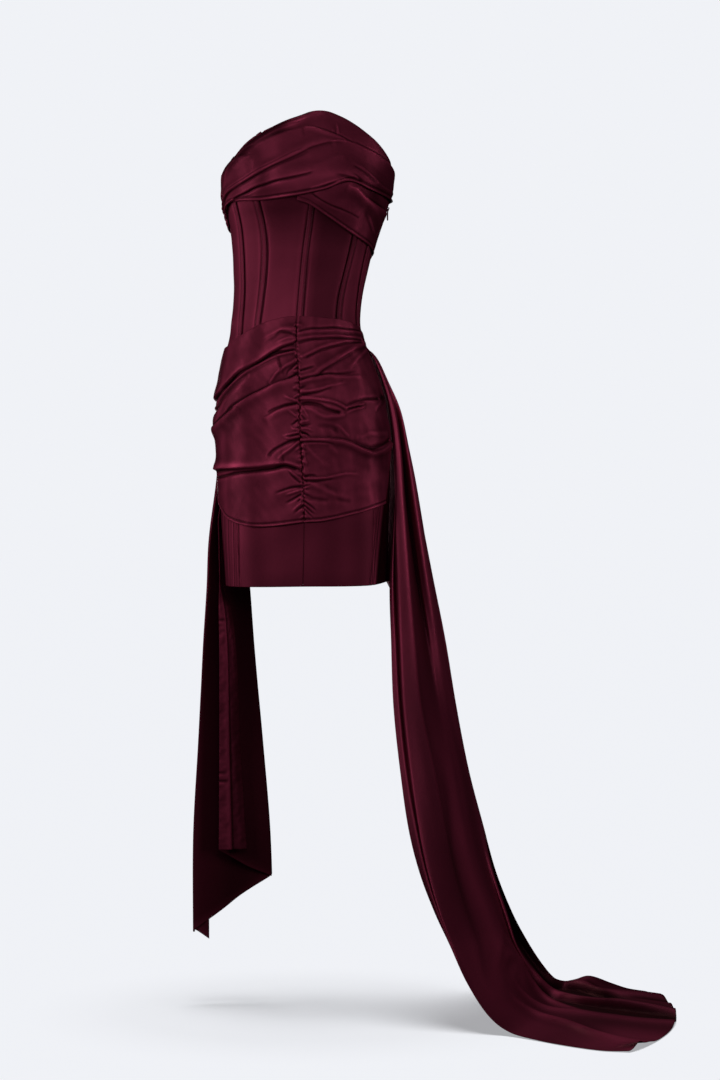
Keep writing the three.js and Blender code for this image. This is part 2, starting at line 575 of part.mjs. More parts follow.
function addOverskirt() {
  const low = (az) => along(OVER_HEM, 'az', 'z', az);
  const high = (az) => along(OVER_TOP, 'az', 'z', az);
  const centre = (side) => (z) => stepRound(along(CENTRE_SEAM, 'z', 'az', z), z, side * SEAM_GAP / 2);
  const freeEdge = (z) => along(OVER_FREE_EDGE, 'z', 'az', z);
  const rows = RUCHE.gathers * 2;
  // Every second row stands out next to the ruched seam and dies away from it.
  const gathers = (az, z, r) => {
    const away = Math.abs(az - along(CENTRE_SEAM, 'z', 'az', z));
    return (r % 2) * RUCHE.rise * Math.exp(-away / RUCHE.reach);
  };
  const seamed = (az) => smooth((az - OVER_LEFT_END) / 14);
  const base = (az) => mix(ON_PANEL, OVER_BONES, seamed(az));
  const leftColumns = columnsBetween(13, centre(-1), fixed(OVER_LEFT_END), 1.5);
  const leftColumnAz = (c, z) => leftColumns(leftColumns.count - c, z);
  leftColumnAz.count = leftColumns.count;
  drape({
    name: 'overskirt_left',
    columnAz: leftColumnAz,
    rows,
    low,
    high,
    folds: OVER_LEFT_FOLDS,
    base,
    gathers,
  });
  drape({
    name: 'overskirt_right',
    columnAz: columnsBetween(10, centre(1), freeEdge, 1.5),
    rows,
    low,
    high,
    folds: OVER_RIGHT_FOLDS,
    base,
    gathers,
  });
}

// A free hanging sheet: a middle face on a grid, thickened by half a cloth on both sides.
function sheet(name, columns, rows, middle, look, floor = -Infinity) {
  const normal = (c, r) => {
    const clampC = (v) => Math.min(columns, Math.max(0, v));
    const clampR = (v) => Math.min(rows, Math.max(0, v));
    const around = middle(clampC(c + 1), r).sub(middle(clampC(c - 1), r));
    const up = middle(c, clampR(r + 1)).sub(middle(c, clampR(r - 1)));
    return around.cross(up).normalize();
  };
  const face = (side) => (c, r) => {
    const p = middle(c, r).addScaledVector(normal(c, r), side * CLOTH / 2);
    p.z = Math.max(p.z, floor);
    return p;
  };
  addPiece(name, wall(columns, rows, face(1), face(-1)), look);
}

// How far the lengthwise folds of the train stand out, by the place across it and along it.
function trainFolds(across, down) {
  let rise = 0;
  for (const fold of TRAIN_FOLDS) {
    const place = mix(fold.at, fold.end, smooth(down));
    rise += fold.rise * Math.exp(-(((across - place) / fold.spread) ** 2));
  }
  return rise;
}

function addTrain() {
  const columns = 24;
  const stations = TRAIN.map((row, i) => ({ ...row, i }));
  const last = TRAIN.length - 1;
  const rows = last + 3;
  const at = (column, s) => along(stations, 'i', column, s);
  const seated = (across) => {
    const az = mix(TRAIN_SEAT.from, TRAIN_SEAT.to, across);
    const offset = CLOTH / 2 + SEAM_GAP + trainFolds(across, 0) * TRAIN[0].fold;
    return onFigure(az, TRAIN[0].fz, offset);
  };
  const middle = (c, r) => {
    const across = c / columns;
    if (r === rows) return seated(across);
    const s = (1 - r / rows) * last;
    const front = new THREE.Vector3(at('fx', s), at('fy', s), at('fz', s));
    const back = new THREE.Vector3(at('bx', s), at('by', s), at('bz', s));
    const chord = back.clone().sub(front);
    const side = new THREE.Vector3(chord.y, -chord.x, 0).normalize();
    const lying = smooth((s - 13) / 4);
    const lift = side.clone().multiplyScalar(1 - lying).add(new THREE.Vector3(0, 0, lying));
    const rise = trainFolds(across, s / last);
    const edges = mix(trainFolds(0, s / last), trainFolds(1, s / last), across);
    const share = at('fold', s);
    const bow = Math.sin(Math.PI * across) ** TRAIN_FULLNESS * at('bulge', s);
    return front.addScaledVector(chord, across)
      .addScaledVector(side, bow)
      .addScaledVector(lift, (rise - edges * (1 - lying)) * share);
  };
  sheet('train', columns, rows, middle, SATIN, FLOOR);
}

// A section of the tail seen from above, from the turned back margin to the front layer's edge.
function tailSection(z) {
  const at = (column) => along(TAIL, 'z', column, z);
  const left = new THREE.Vector3(at('leftX'), at('leftY'), z);
  const right = new THREE.Vector3(at('rightX'), at('rightY'), z);
  const inner = new THREE.Vector3(at('innerX'), at('innerY'), z);
  const run = right.clone().sub(left).normalize();
  const away = new THREE.Vector3(-run.y, run.x, 0);
  const from = (base, runs, aways) => base.clone().addScaledVector(run, runs).addScaledVector(away, aways);
  const half = TAIL_PLY / 2;
  const rightInside = from(right, -half, -TAIL_PLY);
  const frontMiddle = rightInside.clone().lerp(inner, 0.5);
  return new THREE.CatmullRomCurve3([
    from(left, TAIL_FLAP, TAIL_PLY),
    from(left, half, TAIL_PLY),
    from(left, 0, half),
    from(left, half, 0),
    from(left.clone().lerp(right, 0.5), 0, at('bow')),
    from(right, -half, 0),
    from(right, 0, -half),
    rightInside,
    from(frontMiddle, 0, at('innerBow')),
    inner,
  ]);
}

function addTail() {
  const columns = 27;
  const rows = 12;
  const middle = (c, r) => {
    const across = c / columns;
    const z = mix(along(TAIL_HEM, 'across', 'z', across), TAIL_TOP, r / rows);
    return tailSection(z).getPoint(across);
  };
  sheet('tail_outer', columns, rows, middle, SATIN_DEEP);

  const stripAt = (column, z) => along(TAIL_INNER, 'z', column, z);
  const stripColumns = 6;
  const stripRows = 10;
  const stripMiddle = (c, r) => {
    const z = mix(TAIL_INNER[0].z, TAIL_INNER[TAIL_INNER.length - 1].z, r / stripRows);
    const t = c / stripColumns;
    if (r === stripRows) {
      const az = mix(TAIL_INNER_SEAT.from, TAIL_INNER_SEAT.to, t);
      return onFigure(az, z, CLOTH / 2 + SEAM_GAP);
    }
    const x = mix(stripAt('leftX', z), stripAt('rightX', z), t);
    const y = mix(stripAt('leftY', z), stripAt('rightY', z), t) - 4 * Math.sin(Math.PI * t);
    return new THREE.Vector3(x, y, z);
  };
  sheet('tail_inner', stripColumns, stripRows, stripMiddle, SATIN);
}

// Zip in the right side seam. Its slider carries an arch, and the pull tab's top bar lies under it.
const SLIDER = { z: 163, width: 6.6, length: 10, thick: 3, lift: 0.35, corner: 1.6 };
const ARCH = { wide: 1.6, bar: 1.2, postGap: 3.8, rise: 2.6, sunk: 1, corner: 0.3, innerCorner: 0.2 };
const TAB = { width: 5, length: 19, thick: 1, hole: 2.8, holeLength: 4.2, bar: 1.2, corner: 1.4,
  holeCorner: 0.4 };

function solidOf(geometry) {
  const bare = geometry.clone();
  bare.deleteAttribute('normal');
  bare.deleteAttribute('uv');
  const merged = mergeVertices(bare);
  return new wasm.Manifold(new wasm.Mesh({
    numProp: 3,
    vertProperties: new Float32Array(merged.attributes.position.array),
    triVerts: new Uint32Array(merged.index.array),
  }));
}
function geometryOf(solid) {
  const mesh = solid.getMesh();
  const geometry = new THREE.BufferGeometry();
  geometry.setAttribute('position', new THREE.BufferAttribute(mesh.vertProperties, 3));
  geometry.setIndex(new THREE.BufferAttribute(mesh.triVerts, 1));
  geometry.computeVertexNormals();
  return geometry;
}
// A box with one corner radius, its size along X, Y and Z, centred at the given place.
function block(width, depth, height, x, y, z, radius) {
  const shape = new THREE.Shape();
  const w = width / 2;
  const h = height / 2;
  shape.moveTo(-w + radius, -h);
  shape.lineTo(w - radius, -h);
  shape.absarc(w - radius, -h + radius, radius, -Math.PI / 2, 0, false);
  shape.absarc(w - radius, h - radius, radius, 0, Math.PI / 2, false);
  shape.absarc(-w + radius, h - radius, radius, Math.PI / 2, Math.PI, false);
  shape.absarc(-w + radius, -h + radius, radius, Math.PI, 1.5 * Math.PI, false);
  const geometry = new THREE.ExtrudeGeometry(shape, { depth, bevelEnabled: false, curveSegments: 3 });
  geometry.rotateX(Math.PI / 2);
  geometry.translate(x, y + depth / 2, z);
  return geometry;
}

function addZip() {
  const chainEdge = (distance) => (z) => stepRound(ZIP_AZ, z, distance);
  panel({
    name: 'zip_chain',
    from: chainEdge(-ZIP_CHAIN / 2),
    to: chainEdge(ZIP_CHAIN / 2),
    bottom: fixed(ZIP_BOTTOM),
    top: (az) => corsetTop(az) - ZIP_BELOW_TOP,
    columns: 1,
    rows: CORSET_ROWS,
    fromGap: 0,
    toGap: 0,
    look: METAL,
  });

  // The slider's own frame: local -Y points away from the dress, Z runs up the zip.
  const away = outward(ZIP_AZ, SLIDER.z);
  const upZip = new THREE.Vector3(0, 0, 1).addScaledVector(away, -away.z).normalize();
  const across = upZip.clone().cross(away);
  const frame = new THREE.Matrix4().makeBasis(across, away.clone().negate(), upZip);
  frame.setPosition(figure(ZIP_AZ, SLIDER.z));

  const top = SLIDER.lift + SLIDER.thick;
  const archTop = top + ARCH.rise + ARCH.bar;
  const body = solidOf(block(SLIDER.width, SLIDER.thick, SLIDER.length,
    0, -(top + SLIDER.lift) / 2, 0, SLIDER.corner));
  const arch = solidOf(block(ARCH.wide, archTop - top + ARCH.sunk, ARCH.postGap + 2 * ARCH.bar,
    0, -(archTop + top - ARCH.sunk) / 2, 0, ARCH.corner));
  const underArch = solidOf(block(ARCH.wide + 2, ARCH.rise, ARCH.postGap,
    0, -(top + ARCH.rise / 2), 0, ARCH.innerCorner));
  const slider = geometryOf(body.add(arch.subtract(underArch)));
  slider.applyMatrix4(frame);
  addPiece('zip_slider', slider, METAL);

  // The tab hangs plumb from the middle of the space under the arch.
  const pivot = new THREE.Vector3(0, -(top + ARCH.rise / 2), 0).applyMatrix4(frame);
  const plate = solidOf(block(TAB.width, TAB.thick, TAB.length,
    0, 0, TAB.bar / 2 - TAB.length / 2, TAB.corner));
  const eye = solidOf(block(TAB.hole, TAB.thick + 2, TAB.holeLength,
    0, 0, -TAB.bar / 2 - TAB.holeLength / 2, TAB.holeCorner));
  const tab = geometryOf(plate.subtract(eye));
  const turn = new THREE.Matrix4().makeRotationZ(Math.atan2(away.y, away.x) + Math.PI / 2);
  tab.applyMatrix4(turn);
  tab.translate(pivot.x, pivot.y, pivot.z);
  addPiece('zip_pull_tab', tab, METAL);
}

addCorset();
addBoneChannel('bone_channel_far_left', corsetSeam('farLeft'));
addBoneChannel('bone_channel_left', corsetSeam('left'));
addBoneChannel('bone_channel_centre', corsetSeam('centre'));
addBoneChannel('bone_channel_right', corsetSeam('right'));
addBoneChannel('bone_channel_far_right', corsetSeam('farRight'));
addSkirt();
addBustDrape();
addOverskirt();
addTail();
addTrain();
addZip();

export default dress;
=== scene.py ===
"""Strapless satin evening dress: boned corset, crossed bust drape, ruched overskirt over a fitted
mini skirt, a side tail folded in three and a long side train that runs out over the floor.

The cloth is made from the same tables as its solids, with finer folds. Tables are in millimetres
and degrees: azimuth 0 is the front (-Y), 90 the side with the zip and the train (+X), 180 the back.
"""

import bpy
import numpy as np
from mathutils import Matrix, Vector


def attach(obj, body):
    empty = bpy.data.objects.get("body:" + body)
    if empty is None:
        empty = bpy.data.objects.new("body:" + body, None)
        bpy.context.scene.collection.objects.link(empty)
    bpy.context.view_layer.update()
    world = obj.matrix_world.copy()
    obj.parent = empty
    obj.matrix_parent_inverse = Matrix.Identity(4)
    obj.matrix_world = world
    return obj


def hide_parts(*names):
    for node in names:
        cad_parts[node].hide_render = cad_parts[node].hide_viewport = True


bl_info = {
    "name": "Satin Evening Dress",
    "version": (1, 0, 0),
    "blender": (4, 5, 0),
    "location": "View3D > Sidebar > Dress",
    "description": "Builds a draped satin evening dress, piece by piece, on its solid model",
    "category": "Add Mesh",
}

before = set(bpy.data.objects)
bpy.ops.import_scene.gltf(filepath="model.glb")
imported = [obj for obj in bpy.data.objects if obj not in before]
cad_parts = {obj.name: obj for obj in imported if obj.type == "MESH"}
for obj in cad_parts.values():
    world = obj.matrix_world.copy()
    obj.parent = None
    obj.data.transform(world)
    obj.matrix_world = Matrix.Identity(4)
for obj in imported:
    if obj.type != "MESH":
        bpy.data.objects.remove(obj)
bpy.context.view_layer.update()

MM = 0.001
CLOTH_BODY = "dress"

# Walls of the solids, gaps and how far pieces stand off the figure, in millimetres
CLOTH = 1.6
SEAM_GAP = 0.3
SEWN_GAP = 0.02
OVER_BONES = 2.1
OVER_CROSS = 5.2
ON_PANEL = 0.6
BONE_WIDTH = 8.0
BONE_CLEAR = 0.35
BONE_RISE = 1.1
WAIST_SEAM = -75.0
CORSET_BELOW_NECK = 3.0
FLOOR = -1121.0

# Cloth that is built here, in millimetres: its thickness, and how far in its edges are rounded
PANEL_THICK, PANEL_ROUND = 1.2, 1.2
DRAPE_THICK, DRAPE_ROUND = 0.9, 1.3
TRAIN_THICK, TRAIN_ROUND = 0.8, 1.4
# Both ends of a drape by the zip lie this far from the figure
SEWN_END = -0.4

# The zip, in millimetres and degrees
ZIP_AZ = 100.0
ZIP_SLOT = 5.2
ZIP_DRAPE_SLOT = 9.0
ZIP_BOTTOM = -48.0
ZIP_TAPE = 4.6
TOOTH_PITCH = 1.3
TOOTH_SIZE = (2.5, 1.1, 0.8)
TOOTH_BEVEL = 0.2
TOOTH_ASIDE = 0.75
TOOTH_SINK = 0.35
SLIDER_BEVEL = 0.2

# The figure that the dress is cut for: z, left, right, front, back; and the shift and form of the bust
FORM = [
    (-446, -118.5, 139, -99, 102), (-400, -121.5, 140, -100, 106), (-350, -125, 141.5, -101, 111),
    (-310, -127, 143, -102, 115), (-275, -128.5, 144, -103, 119), (-225, -131, 144, -103, 122),
    (-180, -132, 141, -102, 121), (-135, -129, 134, -100, 116), (-95, -124, 120, -96, 106),
    (-62, -116, 106, -92, 96), (-45, -112, 100, -90, 91), (-25, -110, 96.5, -88, 87),
    (0, -107, 97.5, -87, 83), (30, -105.6, 102, -87, 81), (55, -106.3, 107.5, -88, 81),
    (80, -107.2, 113.5, -90, 82), (100, -108.8, 119, -92, 83), (120, -111, 125, -95, 84),
    (140, -115, 131, -99, 86), (160, -120, 138, -104, 88), (185, -124, 145.5, -109, 90),
    (210, -124.5, 147, -110, 90), (250, -124, 146, -104, 86), (290, -118, 139, -93, 79),
    (330, -108, 128, -78, 70),
]
SQUARENESS = 2.2
CUP_AZ, CUP_SHIFT, CUP_SPREAD, CUP_Z, CUP_TALL, CUP_RISE = 31, 6, 19, 196, 42, 6

# Edges: azimuth, z
NECKLINE = [
    (-180, 170), (-130, 172), (-105, 182), (-88, 200), (-72, 220), (-59, 235), (-45, 258),
    (-23, 282), (0, 296), (15, 300), (26, 297), (44, 279), (60, 254), (79, 223), (90, 204),
    (100, 187), (125, 173), (180, 170),
]
UPPER_LOW_EDGE = [
    (-80, 140), (-70, 158), (-58, 162), (-33, 160), (-8, 166), (15, 175), (33, 188), (48, 180),
    (63, 174), (98, 163),
]
CROSS_LOW_EDGE = [
    (-8, 160), (5, 152), (18, 138), (30, 125), (42, 113), (55, 103), (70, 94), (82, 86), (98, 80),
]
CROSS_STARTS_AT = -6
BAND_LOW_EDGE = [(98, 80), (130, 92), (180, 104), (230, 112), (262, 122), (281, 128)]
BUST_LEFT_END = -80
OVER_TOP = [
    (-104, -66), (-88, -66), (-70, -63), (-59, -53), (-38, -36), (-20, -26), (0, -21), (42, -24),
    (60, -29), (72, -36), (79, -46),
]
OVER_HEM = [
    (-104, -292), (-88, -304), (-77, -320), (-67, -336), (-55, -346), (-35, -351), (0, -344),
    (17, -342), (44, -330), (59, -321), (79, -309),
]
OVER_LEFT_END = -104
SKIRT_HEM = [
    (-104, -442), (-60, -445), (0, -444), (55, -443), (80, -438), (106, -437), (182, -443),
    (256, -442),
]
# Edges and seams that run up the dress: z, azimuth
OVER_FREE_EDGE = [
    (-330, 71), (-310, 72), (-280, 74.5), (-250, 78), (-215, 81.5), (-190, 80), (-165, 77.5),
    (-150, 77.8), (-144.5, 74), (-140, 72), (-120, 72.5), (-92, 71), (-66, 74), (-46, 78),
]
CENTRE_SEAM = [
    (-450, -2), (-343, 0.4), (-265, -0.8), (-192, -1.8), (-115, -0.2), (-50, 1), (-21, 2.8),
]
CORSET_SEAMS = {
    "far_left": [(-75, -57), (0, -58.5), (80, -60.5), (160, -62)],
    "left": [(-75, -38.5), (0, -36.5), (80, -35.5), (160, -40)],
    "centre": [(-75, 6.5), (0, 5.5), (80, 5), (160, 7)],
    "right": [(-75, 46.5), (0, 45.5), (80, 50), (160, 49.5)],
    "far_right": [(-75, 74.5), (0, 72), (80, 70), (160, 70)],
}
SIDE_SEAM_LEFT = -88
CENTRE_BACK = 186
SKIRT_LEFT, SKIRT_RIGHT, SKIRT_SIDE_LEFT, SKIRT_SIDE_RIGHT, SKIRT_BACK = -58, 60, -104, 106, 182

# Train sections from the waist to the hem: front edge x, y, z, back edge x, y, z, bulge, folds
TRAIN = [
    (106.9, 9, -57, 83.5, 62.5, -57, 7.2, 0.12), (116.4, 9, -76, 100, 66, -76, 9, 0.3),
    (131, 8, -116, 119, 70, -114, 9, 0.6), (143, 5, -166, 145, 76, -164, 8, 0.9),
    (149.5, 0, -230, 171, 80, -232, 6, 1), (151, -5, -310, 191, 82, -310, 4, 1),
    (143, -18, -438, 217, 84, -440, 3, 1), (145, -40, -531, 236, 88, -536, 4, 0.95),
    (149, -60, -633, 254, 95, -643, 5, 0.9), (159, -85, -733, 275, 105, -750, 5, 0.85),
    (171, -110, -818, 295, 118, -844, 4, 0.8), (188, -130, -885, 321, 130, -920, 2, 0.8),
    (210, -150, -942, 349, 142, -988, -2, 0.8), (233, -168, -990, 376, 155, -1042, -5, 0.8),
    (258, -188, -1044, 402, 170, -1080, -8, 0.85), (289, -207, -1090, 426, 186, -1106, -4, 0.9),
    (321, -222, -1114, 452, 198, -1119, 8, 0.95), (361, -257, -1120, 480, 205, -1120, 30, 1),
    (400, -295, -1120, 510, 200, -1120, 42, 1), (448, -330, -1120, 542, 178, -1120, 54, 1),
    (490, -341, -1120, 569, 150, -1120, 60, 0.7),
]
TRAIN_SEAT_FROM, TRAIN_SEAT_TO = 94.6, 125.2
TRAIN_FULLNESS = 0.75
# The margin turned in behind the train's front edge: share of its width, and where it runs to
TRAIN_MARGIN = 0.08
TRAIN_MARGIN_AZ = 108.5
TRAIN_MARGIN_CLEAR = 4.6
SHARPEST_FOLD = 0.008
# Stations: its top is free of the seat from here on; it turns from hanging to lying, over so many
TRAIN_FREE = 0.9
TRAIN_LIES_FROM, TRAIN_LIES_OVER = 13, 4
# Painted shade on the turned-in margin, which keeps less of the light
TRAIN_MARGIN_PAINTED_SHADE = 1.2
# Lengthwise folds of the train where its top is sewn on: station, place across, rise, spread
TRAIN_FOLDS = [
    [(0, 0.03, 8, 0.06), (20, 0.11, 8, 0.06)],
    [(0, 0.33, 15, 0.12), (20, 0.26, 15, 0.12)],
    [(0, 0.62, 12, 0.11), (20, 0.52, 12, 0.11)],
    [(0, 0.84, 12, 0.09), (20, 0.75, 12, 0.09)],
    [(0, 1.0, 14, 0.07), (20, 0.96, 14, 0.07)],
]
# Places across the cloth of the hanging train's fold lines: the front edge, two narrow pleats, the
# broad bright fold, the deep hollow behind it, the second fold, the crease near the outer edge
TRAIN_LINES = [0, 0.035, 0.06, 0.085, 0.14, 0.19, 0.225, 0.36, 0.48, 0.62, 0.76, 0.885, 0.945, 1]
# Where those lines run: station, then x, y from the plain section for each line but the front edge
PLAIN = (0,) * 2 * (len(TRAIN_LINES) - 1)
TRAIN_DRAPE = [
    (0, *PLAIN),
    (1, -0.8, -3.3, -1, -5.5, -1.2, -7.6, -1, -11.7, -0.3, -13.9, 0.6, -14, 1.5, -15, 3.3, -19, 6.8, -22.7,
     10.1, -16.2, 9.6, -8.6, 6.6, -3.5, 0, 0),
    (2, -0.8, -3.5, -0.9, -5.9, -0.9, -8.1, -0.7, -12.6, 0.5, -14.9, 1.6, -14.6, 2.6, -16, 4.8, -20, 8.5,
     -24.1, 11.4, -14.4, 11.3, -7.7, 5.7, -2, 0, 0),
    (3, -1, -3.9, -1.2, -6.7, -1.1, -9.2, -0.3, -13.8, 1.9, -16.3, 2.9, -13, 3.4, -9, 5.7, -18, 9.5, -27.8,
     11.1, -14.8, 9.3, -7.7, 4.3, -3, 0, 0),
    (4, -1.3, -4, -1.8, -6.9, -1.8, -9.4, -0.8, -14.9, 2.3, -17.2, 3.1, -7.9, 1.4, 12.6, 2.3, -7.8, 4.8,
     -25.1, 6.2, -13.6, 5.4, -6.1, 2.2, -2.2, 0, 0),
    (5, -1.5, -4.7, -2.2, -7.7, -2.6, -10.4, -0.3, -15.3, 4.1, -16.4, 4.6, -5.4, 2.5, 21.2, 3.7, -1.1, 6.3,
     -19.4, 7.1, -9.9, 4.5, -5.2, 2.1, -1.8, 0, 0),
    (6, 1.8, -9.2, 3.7, -1.6, 5.3, -17, 10.2, -23.4, 15.7, -22.2, 15.4, -9.7, 15.5, 28.9, 14.5, 12.8, 14,
     -1.6, 10.2, -0.2, 4.4, -1.5, 1.8, 0.1, 0, 0),
    (7, 2.4, -9, 4.4, -3, 6.4, -18, 11.7, -21.7, 17.2, -19.8, 17.6, -7.1, 20.2, 34.1, 18.9, 24.9, 15.4,
     12.8, 10.2, 8.5, 3.1, 1.8, 0.1, 1.7, 0, 0),
    (8, 3.9, -9.9, 5.1, -5.5, 6.5, -21.1, 12.3, -23.2, 20.3, -15.6, 21, -4.8, 26.7, 24.8, 23.6, 25.4, 18.5,
     18.6, 12.2, 12.3, 4.6, 3.1, 2, 2.3, 0, 0),
    (9, 3.7, -12.2, 5.1, -9.7, 6.7, -24.2, 16.5, -22.2, 28.1, -7.4, 29.3, -0.9, 33.5, 15, 30, 20.4, 23.7,
     15.7, 16.5, 10.6, 7.7, 0, 4.4, 0.1, 0, 0),
    (10, 5.9, -14.6, 6.5, -13.1, 7.1, -26.7, 18.2, -17.9, 30.4, -2.1, 31.7, 1.1, 35, 9.7, 32.1, 14.5, 25.7,
     8.4, 19.1, 2.2, 11.2, -8.9, 8.4, 7.1, 4.9, 0),
    (11, 3.9, -15.9, 3.8, -15.3, 3.8, -27.8, 15.3, -15.9, 27.4, 2.2, 28.6, 6.2, 31.8, 13.2, 30.1, 16.1,
     23.3, 7.7, 15.1, -6.9, 6.7, -29.7, 1.4, 24.5, 0, 0),
    (12, 0.9, -14.4, 0.2, -15.8, -0.4, -25.1, 10.2, -12.3, 22.7, 6, 24.8, 8.7, 33.3, 20.1, 30.3, 17, 22.6,
     2.1, 12.7, -20.6, 2.7, -50.8, -1.7, 23.8, -0.8, 0),
    (13, -0.1, -11.7, -1.6, -16, -2.4, -21.2, 6.4, -8.3, 17.4, 4.3, 20.4, 6.9, 28.3, 15.8, 26.4, 14.9, 18.2,
     -2.2, 7, -27, -3.8, -56.8, -9.5, 12.2, 1.4, 0),
    (15, *PLAIN), (20, *PLAIN),
]
# Folds of the part that lies on the floor: station, place across, rise, spread (or one to each side)
TRAIN_LYING = [
    # the middle crest and the dark hollow under it
    [(13.2, 0.8, 0, 0.03, 0.02), (14.5, 0.76, 4, 0.035, 0.02), (15.3, 0.69, 6, 0.04, 0.02),
     (16, 0.62, 6, 0.04, 0.02), (16.6, 0.55, 4, 0.04, 0.02), (17.4, 0.5, 0, 0.04, 0.03),
     (20, 0.5, 0, 0.04)],
    [(14, 0.8, 0, 0.03), (14.8, 0.77, -3, 0.03), (15.5, 0.72, -6, 0.035), (16.2, 0.65, -10, 0.035),
     (16.8, 0.6, -12, 0.04, 0.035), (17.3, 0.57, -12, 0.045, 0.035), (18.5, 0.53, -13, 0.045),
     (19.4, 0.515, -8, 0.045), (20, 0.505, -3, 0.045)],
    # the crest that runs down from the crease, and the deep hollow along the outer edge
    [(13.2, 0.86, 0, 0.03, 0.02), (14.4, 0.835, 5, 0.035, 0.03), (15.2, 0.8, 7, 0.035, 0.03),
     (16, 0.755, 8, 0.035, 0.03), (16.8, 0.67, 10, 0.035, 0.03), (17.5, 0.64, 12, 0.035, 0.03),
     (18.2, 0.63, 14, 0.035, 0.03), (19.7, 0.615, 10, 0.04, 0.03), (20, 0.61, 9, 0.04, 0.03)],
    [(15.7, 0.82, 0, 0.02), (16.5, 0.745, 4, 0.025, 0.02), (17.3, 0.7, 6, 0.025, 0.02),
     (18, 0.7, 5, 0.025, 0.02), (19, 0.69, 3, 0.03, 0.025), (20, 0.69, 2, 0.03, 0.025)],
    [(12.9, 0.96, 0, 0.04), (14, 0.95, -9, 0.04), (15.3, 0.925, -15, 0.045), (16.3, 0.87, -14, 0.045, 0.04),
     (17.4, 0.76, -9, 0.035), (18.6, 0.73, 0, 0.03), (20, 0.73, 0, 0.03)],
    # the far crest, and the far edge standing up where the cloth reaches the floor
    [(15.6, 0.97, 0, 0.05, 0.04), (16.7, 0.9, 10, 0.05), (17.6, 0.81, 12, 0.05),
     (19.9, 0.85, 9, 0.06, 0.05), (20, 0.85, 8, 0.06, 0.05)],
    [(14.9, 1, 0, 0.05), (15.5, 1, 6, 0.06, 0.05), (16.2, 1, 12, 0.07, 0.05), (17.1, 1, 16, 0.08, 0.05),
     (18.2, 1, 6, 0.07, 0.05), (19, 1, 0, 0.06, 0.05), (20, 1, 0, 0.05)],
    # the near crests
    [(14.2, 0.56, 0, 0.03), (15.1, 0.53, 3, 0.03, 0.025), (16, 0.495, 4, 0.04, 0.025),
     (17.2, 0.475, 5, 0.05, 0.025), (19.4, 0.465, 6, 0.06, 0.03), (20, 0.46, 6, 0.06, 0.03)],
    [(14.5, 0.42, 0, 0.03), (16.2, 0.355, 4, 0.04, 0.03), (18.5, 0.155, 6, 0.05, 0.04),
     (20, 0.1, 5, 0.06, 0.05)],
    [(17, 0.75, 0, 0.03), (18.5, 0.735, 4, 0.03), (20, 0.73, 6, 0.04, 0.03)],
    # the hem arches off the floor at one place
    [(19.2, 0.05, 0, 0.03), (19.8, 0.045, 6, 0.03), (20, 0.045, 9, 0.03)],
]
